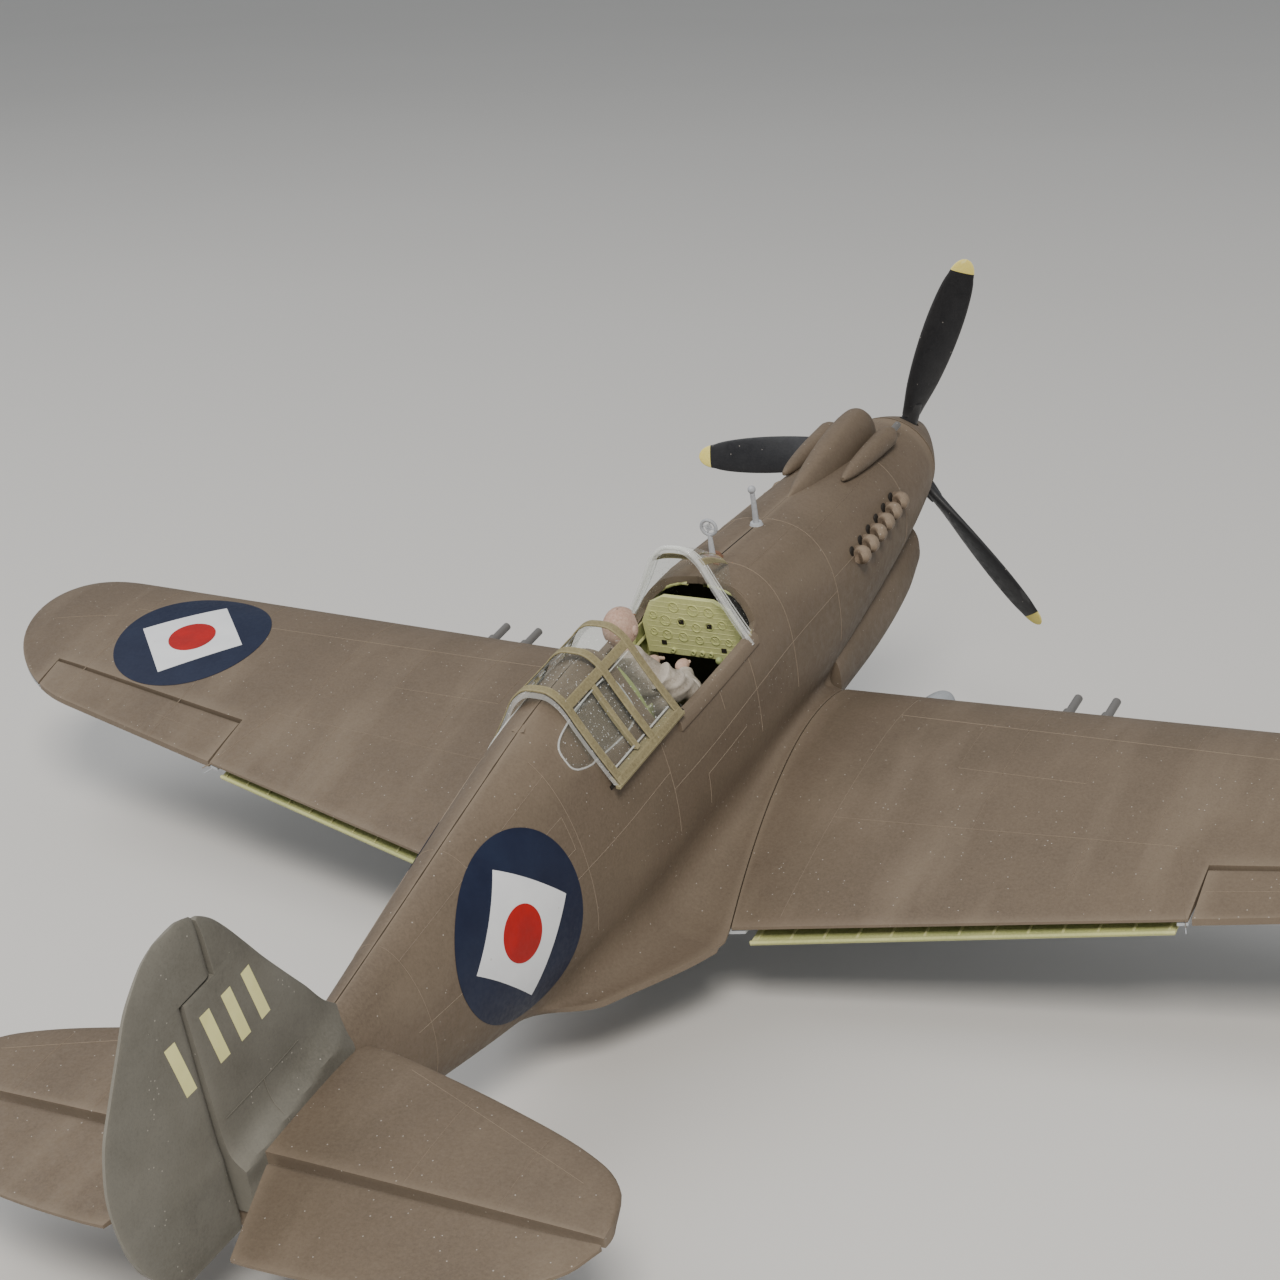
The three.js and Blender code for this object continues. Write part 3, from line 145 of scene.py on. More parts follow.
class Shape:
    """Points and faces of one piece, gathered from several surfaces."""

    def __init__(self):
        self.points, self.faces, self.paints, self.count = [], [], [], 0

    def add(self, points, faces, paint=0):
        points = np.asarray(points, float).reshape(-1, 3)
        self.points.append(points)
        self.faces += [tuple(int(i) + self.count for i in face) for face in faces]
        self.paints += [paint] * len(faces)
        self.count += len(points)
        return self

    def join(self, other, turned=None):
        """Takes in another shape, with its points run through the function turned."""
        points = np.concatenate(other.points)
        return self.add(turned(points) if turned else points, other.faces)

    def loft(self, rings, paint=0, caps=True):
        """A tube through closed rings of points, with a flat face over each end."""
        rings = np.asarray(rings, float)
        rows, cols = rings.shape[:2]
        faces = [tuple(f) for f in grid_faces(rows, cols, True)]
        if caps:
            faces.append(tuple(range(cols)))
            faces.append(tuple(range((rows - 1) * cols, rows * cols)))
        return self.add(rings, faces, paint)

    def slab(self, outer, inner, present=None, paint=0):
        """The solid between two grids of points, without the cells where present is False.

        paint is one finish, or one each for the outer face, the inner face and the rim.
        """
        outside, inside, rim = paint if isinstance(paint, tuple) else (paint,) * 3
        rows, cols = outer.shape[:2]
        if present is None:
            present = np.ones((rows - 1, cols - 1), bool)
        n = rows * cols
        index = np.arange(n).reshape(rows, cols)
        padded = np.pad(present, 1)
        top, low, walls = [], [], []
        for r, c in zip(*np.nonzero(present)):
            a, b, d, e = index[r, c], index[r, c + 1], index[r + 1, c + 1], index[r + 1, c]
            top.append((a, b, d, e))
            low.append((e + n, d + n, b + n, a + n))
            neighbours = ((b, a, r, c + 1), (e, d, r + 2, c + 1), (a, e, r + 1, c), (d, b, r + 1, c + 2))
            for near, far, i, j in neighbours:
                if not padded[i, j]:
                    walls.append((near, far, far + n, near + n))
        self.add(np.concatenate([outer.reshape(-1, 3), inner.reshape(-1, 3)]), top, outside)
        self.faces += [tuple(int(i) + self.count - 2 * n for i in face) for face in low + walls]
        self.paints += [inside] * len(low) + [rim] * len(walls)
        return self

    def tube(self, path, radius, sides=16, paint=0, flatten=1.0):
        """A round bar along a path, with one radius or a radius for each point."""
        path = np.asarray(path, float)
        radii = np.broadcast_to(radius, len(path))
        run = np.gradient(path, axis=0)
        run /= np.linalg.norm(run, axis=1)[:, None]
        seed = np.array([0, 0, 1.0]) if abs(run[0][2]) < 0.9 else np.array([1.0, 0, 0])
        turn = turns(sides)
        rings = []
        for point, along, r in zip(path, run, radii):
            across = np.cross(along, seed)
            across /= np.linalg.norm(across)
            over = np.cross(across, along)
            spokes = np.outer(np.cos(turn), across) + flatten * np.outer(np.sin(turn), over)
            rings.append(point + r * spokes)
        return self.loft(rings, paint)

    def tubes(self, *rods):
        """Several bars, each given as a path, its radius or radii and its number of sides."""
        for path, radius, sides in rods:
            self.tube(path, radius, sides)
        return self

    def lathe(self, profile, centre, axis=(1, 0, 0), sides=64, paint=0):
        """A closed outline of (radius, offset) pairs turned about an axis through centre."""
        axis = np.asarray(axis, float) / np.linalg.norm(axis)
        seed = np.array([0, 0, 1.0]) if abs(axis[2]) < 0.9 else np.array([1.0, 0, 0])
        across = np.cross(axis, seed)
        across /= np.linalg.norm(across)
        over = np.cross(axis, across)
        turn = turns(sides)[:, None, None]
        radius, offset = np.array(profile, float).T[:, None, :, None]
        spokes = np.cos(turn) * across + np.sin(turn) * over
        rings = np.asarray(centre, float) + offset * axis + radius * spokes
        count = len(profile)
        faces = []
        for s in range(sides):
            for i in range(count):
                a, b = s * count + i, s * count + (i + 1) % count
                step = ((s + 1) % sides - s) * count
                faces.append((a, b, b + step, a + step))
        return self.add(rings.reshape(-1, 3), faces, paint)

    def box(self, low, high, paint=0):
        (x0, y0, z0), (x1, y1, z1) = low, high
        rings = [[(x0, y0, z), (x1, y0, z), (x1, y1, z), (x0, y1, z)] for z in (z0, z1)]
        return self.loft(rings, paint)

    def ball(self, centre, radii, paint=0, rows=12, cols=18):
        down = np.linspace(0, np.pi, rows)[:, None]
        turn = turns(cols)
        unit = points_of(np.sin(down) * np.cos(turn), np.sin(down) * np.sin(turn), np.cos(down))
        return self.loft(np.asarray(centre) + unit * np.asarray(radii), paint, caps=False)

    def on(self, side):
        """The shape as it is for the left side, and mirrored for the right."""
        self.points = [p * (side, 1, 1) for p in self.points]
        return self


def grid_faces(rows, cols, around=False):
    r = np.arange(rows - 1)[:, None]
    c = np.arange(cols if around else cols - 1)[None, :]
    a, b = r * cols + c, r * cols + (c + 1) % cols
    return np.stack([a, b, b + cols, a + cols], -1).reshape(-1, 4).tolist()


def solid_mesh(name, shape):
    """The mesh of a shape in the model's frame, with its seams closed and its faces turned outwards."""
    mesh = bpy.data.meshes.new(name)
    mesh.from_pydata(placed(np.concatenate(shape.points)), [], shape.faces)
    mesh.polygons.foreach_set("material_index", shape.paints)
    made = bmesh.new()
    made.from_mesh(mesh)
    bmesh.ops.remove_doubles(made, verts=made.verts, dist=MERGE)
    bmesh.ops.dissolve_degenerate(made, edges=made.edges, dist=MERGE)
    bmesh.ops.recalc_face_normals(made, faces=made.faces)
    made.to_mesh(mesh)
    made.free()
    return mesh


def linked(name, data):
    """A new object of the scene."""
    thing = bpy.data.objects.new(name, data)
    bpy.context.scene.collection.objects.link(thing)
    return thing


def piece(name, shape, finishes, body="airframe", slot="olive_paint", replaces=(), sharp=SHARP, bevel=0):
    """Makes one Blender object of the model from a shape, riding on its body."""
    mesh = solid_mesh(name, shape)
    for finish in finishes if isinstance(finishes, list) else [finishes]:
        mesh.materials.append(finish)
    mesh.shade_smooth()
    mesh.set_sharp_from_angle(angle=math.radians(sharp))
    thing = linked(name, mesh)
    if bevel:
        rounding = thing.modifiers.new("rounded edges", "BEVEL")
        rounding.width = bevel / MODEL_SCALE
        rounding.segments = 2
        rounding.limit_method = "ANGLE"
        rounding.angle_limit = math.radians(sharp)
    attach(thing, body)
    if replaces:
        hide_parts(*replaces)
    return thing


def cut_away(thing, shape):
    """Subtracts a closed shape from an object's mesh."""
    cutter = linked("cutter", solid_mesh("cutter", shape))
    difference = thing.modifiers.new("cut", "BOOLEAN")
    difference.operation = "DIFFERENCE"
    difference.solver = "EXACT"
    difference.object = cutter
    graph = bpy.context.evaluated_depsgraph_get()
    mesh = bpy.data.meshes.new_from_object(thing.evaluated_get(graph))
    thing.modifiers.clear()
    thing.data = mesh
    bpy.data.objects.remove(cutter)
    mesh.set_sharp_from_angle(angle=math.radians(SHARP))


# ---- finishes ------------------------------------------------------------------------------------


class Finish:
    """A procedural material: a Principled shader and the nodes that feed it."""

    def __init__(self, name, roughness=0.6, metallic=0.0, **sockets):
        self.material = bpy.data.materials.new(name)
        self.material.use_nodes = True
        self.tree = self.material.node_tree
        self.shader = self.tree.nodes["Principled BSDF"]
        self.set("Roughness", roughness)
        self.set("Metallic", metallic)
        for socket, value in sockets.items():
            self.set(socket.replace("_", " "), value)
        self.where = self.node("ShaderNodeTexCoord").outputs["Object"]

    def node(self, kind, sockets=(), **settings):
        """Adds a node, with values or other nodes' outputs fed to its sockets."""
        made = self.tree.nodes.new(kind)
        for key, value in settings.items():
            setattr(made, key, value)
        for socket, value in dict(sockets).items():
            self.feed(made, socket, value)
        return made

    def feed(self, node, socket, value):
        if hasattr(value, "is_linked"):
            self.tree.links.new(value, node.inputs[socket])
        else:
            node.inputs[socket].default_value = value

    def set(self, socket, value):
        self.feed(self.shader, socket, value)

    def noise(self, scale, detail=4.0, rough=0.6, stretch=None):
        where = self.where
        if stretch:
            where = self.node("ShaderNodeMapping", {"Vector": where, "Scale": stretch}).outputs["Vector"]
        sockets = {"Vector": where, "Scale": scale, "Detail": detail, "Roughness": rough}
        return self.node("ShaderNodeTexNoise", sockets).outputs["Fac"]

    def specks(self, scale, size, share):
        """1 inside small dots scattered over a share of cells of this scale, and 0 elsewhere."""
        cells = self.node("ShaderNodeTexVoronoi", {"Vector": self.where, "Scale": scale})
        near = self.math("LESS_THAN", cells.outputs["Distance"], size)
        split = self.node("ShaderNodeSeparateColor", {"Color": cells.outputs["Color"]})
        return self.math("MULTIPLY", near, self.math("LESS_THAN", split.outputs["Red"], share))

    def two_specks(self, large, small, strength):
        """Large and small specks together, each given as for specks."""
        return self.math("MULTIPLY", self.math("MAXIMUM", self.specks(*large), self.specks(*small)), strength)

    def edge_wear_and_highlight(self, low=0.51, high=0.6):
        """1 on outside edges and 0 on flat stretches."""
        return self.range(self.node("ShaderNodeNewGeometry").outputs["Pointiness"], low, high)

    def math(self, operation, a, b):
        return self.node("ShaderNodeMath", {0: a, 1: b}, operation=operation).outputs[0]

    def range(self, value, low, high, to_low=0.0, to_high=1.0):
        ends = {"From Min": low, "From Max": high, "To Min": to_low, "To Max": to_high}
        return self.node("ShaderNodeMapRange", {"Value": value, **ends}).outputs["Result"]

    def blend(self, share, a, b):
        a, b = (colour if hasattr(colour, "is_linked") else (*colour, 1.0) for colour in (a, b))
        return self.node("ShaderNodeMix", {0: share, 6: a, 7: b}, data_type="RGBA").outputs[2]

    def laid_over(self, colour, share, strength, above):
        """A colour with another one laid over it by a share of a strength."""
        return self.blend(self.math("MULTIPLY", share, strength), colour, above)

    def bump(self, height, distance, strength=0.5):
        made = self.node("ShaderNodeBump", {"Distance": distance, "Strength": strength, "Height": height})
        self.set("Normal", made.outputs["Normal"])


GRIME, DUST = (0.02, 0.016, 0.012), (0.5, 0.46, 0.41)
PAINT_RELIEF, PRINT_RELIEF = 0.00003, 0.00001  # metres of the model


def paint(name, base, shade, light, roughness=0.62, dust=0.5, grain=0.5, wear_and_highlight=0.5, wear_and_highlight_colour=None):
    """Hand-painted matte styrene: cloudy tone, fine grain, dust specks and lighter edges that are partly worn
    paint and partly a painted highlight.
    """
    f = Finish(name, roughness, Specular_IOR_Level=0.32)
    clouds = f.range(f.noise(55, 5, 0.6), 0.34, 0.68)
    colour = f.blend(clouds, base, shade)
    streaks = f.range(f.noise(160, 3, 0.5, stretch=(1, 0.16, 0.5)), 0.5, 0.75)
    colour = f.laid_over(colour, streaks, 0.35, light)
    fine = f.range(f.noise(2600, 3, 0.7), 0.3, 0.7)
    colour = f.laid_over(colour, fine, grain, f.blend(0.5, colour, light))
    dark_fine = f.range(f.noise(3900, 2, 0.6), 0.5, 0.72)
    colour = f.laid_over(colour, dark_fine, grain * 0.55, f.blend(0.45, colour, GRIME))
    # Outside edges turn lighter: partly paint worn thin, partly a painted highlight where edges catch the light.
    colour = f.laid_over(colour, f.edge_wear_and_highlight(), wear_and_highlight, wear_and_highlight_colour or light)
    if dust:
        colour = f.blend(f.two_specks((1500, 0.12, 0.3 * dust), (700, 0.06, 0.22 * dust), 0.6), colour, DUST)
    f.set("Base Color", colour)
    f.set("Roughness", f.range(f.noise(900, 3, 0.6), 0.3, 0.7, roughness - 0.1, roughness + 0.14))
    brushed = f.math("MULTIPLY", f.noise(420, 2), 0.6)
    f.bump(f.math("ADD", f.noise(2400, 3, 0.7), brushed), PAINT_RELIEF, 0.55)
    return f.material


OLIVE = paint("olive brown paint", (0.134, 0.1, 0.069), (0.105, 0.078, 0.054), (0.235, 0.185, 0.135), wear_and_highlight=0.45)
# The tail's own greyer olive, made lighter to paint in light on the fin's shaded side.
TAIL_OLIVE_WITH_PAINTED_LIGHT = paint("tail olive paint with painted light", (0.172, 0.165, 0.141), (0.105, 0.098, 0.08), (0.22, 0.205, 0.17), wear_and_highlight=0.4)
LINE_PAINT = paint("raised line paint", (0.19, 0.146, 0.105), (0.14, 0.106, 0.074), (0.31, 0.25, 0.19), wear_and_highlight=0.6)
BELLY = paint("grey underside paint", (0.36, 0.38, 0.4), (0.29, 0.31, 0.33), (0.5, 0.52, 0.54), dust=0.3)
FRAME_PAINT = paint(
    "yellow green frame paint", (0.215, 0.18, 0.09), (0.15, 0.122, 0.064), (0.4, 0.35, 0.2), grain=0.8, wear_and_highlight=0.7)
PANEL_PAINT = paint(
    "yellow green primer", (0.43, 0.46, 0.16), (0.27, 0.32, 0.11), (0.62, 0.61, 0.3), grain=0.8, wear_and_highlight=0.7)
COCKPIT_PAINT = paint(
    "interior green paint", (0.22, 0.27, 0.1), (0.14, 0.18, 0.07), (0.36, 0.4, 0.17), dust=0.2, grain=0.6)
BLACK = paint("propeller black", (0.012, 0.012, 0.014), (0.02, 0.02, 0.022), (0.05, 0.05, 0.052),
              roughness=0.42, dust=0.25, grain=0.3, wear_and_highlight=0.35, wear_and_highlight_colour=(0.12, 0.12, 0.12))
YELLOW = paint(
    "propeller tip yellow", (0.78, 0.66, 0.16), (0.68, 0.56, 0.12), (0.9, 0.84, 0.42), grain=0.4, dust=0.1)
GUNMETAL = paint("gun metal", (0.07, 0.068, 0.066), (0.045, 0.044, 0.044), (0.16, 0.155, 0.15), roughness=0.4,
                 dust=0.1, wear_and_highlight=0.7)
EXHAUST = paint(
    "burnt exhaust", (0.17, 0.122, 0.085), (0.105, 0.074, 0.052), (0.28, 0.22, 0.16), wear_and_highlight=0.6, grain=0.8)
SIGHT = paint("sight grey", (0.33, 0.34, 0.36), (0.22, 0.23, 0.25), (0.5, 0.51, 0.53), grain=0.7)
RUST = paint("rusty brown", (0.13, 0.055, 0.03), (0.07, 0.035, 0.02), (0.3, 0.17, 0.1), grain=0.9)
ALUMINIUM = paint("aluminium paint", (0.43, 0.44, 0.45), (0.34, 0.35, 0.36), (0.6, 0.61, 0.62), roughness=0.38,
                  dust=0.1, grain=0.6)
TYRE = paint("tyre black", (0.022, 0.022, 0.023), (0.032, 0.031, 0.03), (0.09, 0.085, 0.08), roughness=0.7)
SKIN = paint("figure skin", (0.44, 0.27, 0.2), (0.3, 0.17, 0.12), (0.62, 0.47, 0.38), grain=0.9, wear_and_highlight=0.6)
SUIT = paint("flying suit", (0.33, 0.28, 0.22), (0.2, 0.165, 0.125), (0.55, 0.5, 0.43), grain=0.9, wear_and_highlight=0.9)
SEAT = paint("seat green", (0.2, 0.215, 0.1), (0.14, 0.15, 0.07), (0.34, 0.35, 0.2), dust=0.2)
# Black for dark tracks and seams, and for sheets and blobs that paint in shade in holes, intakes and voids.
SHADE_AND_JOINT_BLACK = paint("painted shade and joint black", (0.012, 0.01, 0.008), (0.02, 0.016, 0.012), (0.03, 0.025, 0.02), dust=0, wear_and_highlight=0)


def decal(name, base, shade):
    """A printed film under a thin satin varnish."""
    f = Finish(name, 0.5, Specular_IOR_Level=0.3)
    colour = f.blend(f.range(f.noise(240, 4), 0.35, 0.7), base, shade)
    f.set("Base Color", f.laid_over(colour, f.specks(620, 0.1, 0.05), 0.6, (0.5, 0.5, 0.48)))
    f.set("Roughness", f.range(f.noise(1500, 2), 0.3, 0.7, 0.42, 0.58))
    f.bump(f.noise(1800, 2), PRINT_RELIEF, 0.3)
    return f.material


NAVY = decal("navy print", (0.007, 0.011, 0.032), (0.011, 0.017, 0.042))
WHITE = decal("white print", (0.72, 0.73, 0.74), (0.66, 0.67, 0.69))
RED = decal("red print", (0.42, 0.005, 0.004), (0.28, 0.01, 0.009))
NUMBER_YELLOW = decal("yellow print", (0.8, 0.77, 0.36), (0.72, 0.69, 0.3))


def styrene(name, haze_and_glint, scratches=0.5):
    """Clear moulded plastic: dusty, scratched and a little hazy, and brighter where it is seen edge on, a painted
    sheen.
    """
    f = Finish(name, 0.08, Specular_IOR_Level=0.6)
    dots = f.two_specks((2300, 0.16, 0.4), (1100, 0.11, 0.35), 0.55)
    lines = f.range(f.noise(900, 3, 0.5, stretch=(1, 0.06, 1)), 0.63, 0.68, 0.0, 0.1 * scratches)
    # Whiter where the surface is seen edge on: a painted sheen standing in for the plastic's reflections.
    edge = f.node("ShaderNodeLayerWeight", {"Blend": 0.25})
    rim = f.range(edge.outputs["Facing"], 0.45, 1.0, 0.0, 0.4)
    cover = f.math("ADD", f.math("ADD", dots, lines), f.math("ADD", rim, haze_and_glint))
    f.set("Base Color", f.blend(f.noise(300, 2), (0.8, 0.8, 0.78), (0.9, 0.9, 0.88)))
    clear = f.node("ShaderNodeBsdfTransparent", {"Color": (0.97, 0.98, 0.97, 1)})
    layers = {"Fac": f.math("MINIMUM", cover, 0.92), 1: clear.outputs[0], 2: f.shader.outputs[0]}
    both = f.node("ShaderNodeMixShader", layers)
    f.feed(f.tree.nodes["Material Output"], "Surface", both.outputs[0])
    return f.material


CLEAR = styrene("clear styrene", 0.02, 0.3)
# A milky clear finish that paints in the bright glints on the thick plastic's edges.
CLEAR_EDGE_GLINT = styrene("clear styrene edge glint", 0.36)

# ---- section of the clear parts -----------------------------------------------------------------------------

CANOPY = {"sill": 0.47, "top": 1.01, "half": 0.445, "front": 4.765, "middle": 5.11, "rear": 5.57}
SCREEN = {"front": 3.37, "rear": 3.83, "base": 0.38}
GLASS_WALL = 0.036
FRAME_PROUD = 0.014
screen_crown = smooth((3.37, 0.71), (3.5, 0.81), (3.65, 0.91), (3.83, 1.0))
screen_width = smooth((3.37, 0.28), (3.5, 0.35), (3.65, 0.405), (3.83, 0.445))
# The arch from its crown to its foot: share of the way, share of the half width, share of the height.
ARCH = ((0, 0, 1), (0.1, 0.15, 0.988), (0.19, 0.27, 0.93), (0.29, 0.38, 0.83), (0.45, 0.51, 0.64),
        (0.65, 0.68, 0.405), (0.83, 0.845, 0.19), (1, 1, 0))
arch_across = smooth(*((share, across) for share, across, _ in ARCH))
arch_up = smooth(*((share, up) for share, _, up in ARCH))


def arch(share, y, width, base, crown, out=0.0):
    """The glazing's section: share runs from -1 at the right foot over the crown to 1 at the left foot."""
    x = (width + out) * np.sign(share) * arch_across(np.abs(share))
    return points_of(x, y, base + (crown - base + out) * arch_up(np.abs(share)))


def canopy_arch(share, y, out=0.0):
    return arch(share, y, CANOPY["half"], CANOPY["sill"], CANOPY["top"], out)


def screen_arch(share, y, out=0.0):
    return arch(share, y, screen_width(y), SCREEN["base"], screen_crown(y), out)


def inside_canopy(z):
    """Half the width there is at a height under the canopy."""
    share = np.linspace(1, 0, 200)
    height = (z - CANOPY["sill"]) / (CANOPY["top"] - CANOPY["sill"] - GLASS_WALL)
    room = np.interp(height, arch_up(share), arch_across(share)) * (CANOPY["half"] - GLASS_WALL) - 0.012
    return np.where(z > CANOPY["sill"], room, 9.0)


# ---- fuselage ------------------------------------------------------------------------------------

GAP = 0.0144
NOSE, TAIL = 0.68, 8.845
OPENING = {"front": 3.58, "rear": 4.95}
SILL = 0.4
LOWER_BEND = 0.92
WALL, TAIL_WALL = 0.05, 0.03
BORE = 0.13  # round the propeller shaft
GROOVE_END = 5.586  # where the rear deck's recess for the open canopy stops

half_width = smooth((0.6, 0.34), (1.1, 0.4), (2.0, 0.45), (3.4, 0.475), (4.4, 0.475), (5.0, 0.455), (5.6, 0.435),
                    (6.6, 0.345), (7.8, 0.2), (8.6, 0.12), (9.2, 0.07))
body_top = smooth((0.6, 0.34), (1.1, 0.42), (2.0, 0.52), (2.7, 0.585), (3.4, 0.66), (3.8, 0.69), (4.95, 0.94),
                  (5.6, 0.92), (6.4, 0.79), (7.2, 0.64), (7.9, 0.52), (8.6, 0.42), (9.2, 0.34))
belly_line = smooth((0.6, -0.34), (1.1, -0.45), (2.0, -0.6), (3.0, -0.74), (4.2, -0.79), (5.4, -0.74),
                    (6.6, -0.53), (7.8, -0.24), (8.6, -0.06), (9.2, 0.06))
widest_level = smooth((0.6, 0), (3, -0.05), (5.5, -0.05), (7.8, 0.12), (9.2, 0.2))
roundness = smooth((0.6, 2), (2, 2.3), (3.4, 2.8), (4.6, 2.1), (5.2, 1.95), (9.2, 2))


def section(y, angle, grow=0.0):
    """x and z of the plain fuselage section at an angle from the top, for the left side."""
    level = widest_level(y)
    side, lift = np.sin(angle), np.cos(angle)
    bend = np.where(lift > 0, 2 / roundness(y), LOWER_BEND)
    reach = np.where(lift > 0, body_top(y) - level, level - belly_line(y))
    x = (half_width(y) + grow) * np.abs(side) ** bend
    return x, level + (reach + grow) * np.sign(lift) * np.abs(lift) ** bend


def angle_at(y, z):
    """The angle from the top at which the plain section passes height z."""
    level = widest_level(y)
    above = np.clip((z - level) / (body_top(y) - level), 0, 1) ** (roundness(y) / 2)
    below = np.clip((level - z) / (level - belly_line(y)), 0, 1) ** (1 / LOWER_BEND)
    return np.where(z > level, np.arccos(above), np.arccos(-below))


def opening_angle(y):
    """Angle of the cockpit opening's edge, and a smooth course for the same grid line beyond it."""
    stations = [OPENING["front"], 3.6, 3.66, 3.8, OPENING["rear"], 6, 9]
    profile = np.interp(y, stations, [0.8, 0.62, 0.46, SILL, SILL, 0.3, 0.25])
    ahead = 0.5 * ease(OPENING["front"] - y, 0, 0.3)
    return np.where(y <= OPENING["front"], ahead, angle_at(y, profile))


# ---- wing ----------------------------------------------------------------------------------------

WING = {"half": 5.76, "root": 2.604, "root_chord": 2.748, "tip_chord": 1.3, "sweep": 0.135, "level": -0.724}
DIHEDRAL, INCIDENCE = math.tan(math.radians(3)), math.tan(math.radians(1.05))
TIP_CENTRE = 0.45
LEAST = 0.006  # half thickness of the thinnest edge
CREST, CAMBER = 0.4, 0.02
AILERON = {"inner": 3.32, "outer": 5.12, "hinge": 0.78}
FLAP = {"inner": 0.86, "outer": 3.26, "hinge": 0.8, "lowered": math.radians(10)}
root_edge = smooth((2.66, 0.47), (3.4, 0.5), (4.1, 0.58), (4.7, 0.68), (5.3, 0.8))


def straight_lead(x):
    return WING["root"] + WING["sweep"] * np.abs(x) / WING["half"]


def straight_trail(x):
    return straight_lead(x) + mix(WING["root_chord"], WING["tip_chord"], np.abs(x) / WING["half"])


def tip_share(x, start, power):
    t = np.clip((np.abs(x) - start) / (WING["half"] - start), 0, 1)
    return np.sqrt(1 - t**power)


def lead_edge(x):
    centre = straight_lead(x) + TIP_CENTRE
    return mix(centre, straight_lead(x), tip_share(x, 5.1, 3.0))


def trail_edge(x):
    centre = straight_lead(x) + TIP_CENTRE
    return mix(centre, straight_trail(x), tip_share(x, 4.8, 2.0))


def chord_level(x, y):
    return WING["level"] + DIHEDRAL * np.abs(x) - INCIDENCE * (y - straight_lead(x))


def wing_heights(x, y):
    """Upper and lower skin of the wing at a point of its plan."""
    chord = np.maximum(trail_edge(x) - lead_edge(x), 0.05)
    u = np.clip((y - lead_edge(x)) / chord, 0, 1)
    thickness = mix(0.15, 0.09, np.abs(x) / WING["half"])
    half = thickness * foil(u) / 2 * chord + 0.014 * u + LEAST
    rise = np.where(u < CREST, (2 * CREST * u - u * u) / CREST**2,
                    (1 - 2 * CREST + 2 * CREST * u - u * u) / (1 - CREST) ** 2)
    line = chord_level(x, y) + CAMBER * rise * chord
    return line + half, line - half


def hinge_line(x, share):
    straight = mix(straight_lead(x), straight_trail(x), share)
    return np.where(np.abs(x) > AILERON["outer"], mix(lead_edge(x), trail_edge(x), share), straight)


def wing_top(x, y):
    return wing_heights(x, y)[0]


FILLET = {"front": 2.58, "full": 2.76, "trail": 5.352, "fade": 6.1, "end": 6.6, "lip": 0.05}
SIDE_ANGLE, UNDER_ANGLE = 1.95, 2.5  # from the top, where the plain side ends and where the belly begins
TUCK = 0.1  # share of the underside's columns that turn in under the fillet
fillet_height = smooth((2.66, 0.05), (3.4, 0.14), (4.6, 0.27), (5.4, 0.34), (6.5, 0.16))
fillet_end = smooth((5.3, 0.8), (5.6, 0.7), (6.1, 0.46), (6.5, 0.3))


def fillet_edge(y):
    return np.where(y < 5.3, root_edge(y), fillet_end(y))


def body_grid(ys, columns):
    """Left half of the fuselage's outside, with its wing fillet, one row of points for each station."""
    y = ys[:, None]
    opening, side, blend, under = columns
    share = ease(y, FILLET["front"], FILLET["full"]) * (1 - ease(y, FILLET["fade"], FILLET["end"]))
    edge = fillet_edge(y)
    within = np.minimum(y, FILLET["trail"] - 0.03)
    skin = wing_top(edge, np.maximum(within, 2.63)) + np.maximum(0, y - FILLET["trail"]) * 0.16
    foot_angle = mix(SIDE_ANGLE, angle_at(y, skin + fillet_height(y)), share)
    edge_angle = opening_angle(y)
    u, a, b, c = (np.linspace(0, 1, n + 1)[None, :] for n in (opening, side, blend, under))
    angles = [mix(0, edge_angle, u[:, :-1]), mix(edge_angle, foot_angle, a[:, :-1])]
    beneath = mix(UNDER_ANGLE, np.pi, c) + 0 * foot_angle
    lower = np.maximum(np.concatenate([mix(foot_angle, UNDER_ANGLE, b[:, :-1]), beneath], 1), foot_angle)
    upper = np.concatenate([np.broadcast_to(part, (len(ys), part.shape[1])) for part in angles], 1)
    x0, z0 = section(y, upper)
    x1, z1 = section(y, lower)
    # The fillet's own curve: from the fuselage side round to the wing's upper skin, then under it.
    px, pz = section(y, foot_angle)
    nx, nz = section(y, foot_angle + 0.02)
    run = np.hypot(edge - px, skin - pz)
    slope = np.hypot(nx - px, nz - pz)
    along_x, along_z = (nx - px) / slope * run * 0.5, (nz - pz) / slope * run * 0.5
    t = b[:, :-1]
    fx = bezier(px, px + along_x, edge - run * 0.55, edge, t)
    fz = bezier(pz, pz + along_z, skin + run * 0.02, skin, t)
    drop, inboard = np.clip(c / TUCK, 0, 1), np.clip((c - TUCK) / (1 - TUCK), 0, 1)
    cx = mix(edge, 0, inboard)
    flat = mix(skin, chord_level(cx, y) + 0.004, drop)
    depth = mix(skin - FILLET["lip"], belly_line(y), np.sqrt(inboard))
    behind = ease(y, FILLET["trail"], FILLET["trail"] + 0.02)
    cz = mix(flat, np.where(drop < 1, mix(skin, skin - FILLET["lip"], drop), depth), behind)
    fx, fz = np.concatenate([fx, cx], 1), np.concatenate([fz, cz], 1)
    x1, z1 = mix(x1, fx, share), mix(z1, fz, share)
    x, z = np.concatenate([x0, x1], 1), np.concatenate([z0, z1], 1)
    x = np.where((y > OPENING["rear"] - 0.01) & (y < GROOVE_END), np.minimum(x, inside_canopy(z)), x)
    inner_x, inner_z = section(y, np.concatenate([upper, lower], 1), -WALL)
    return points_of(x, y, z), points_of(inner_x, y, inner_z)


COLUMNS = (16, 34, 14, 12)


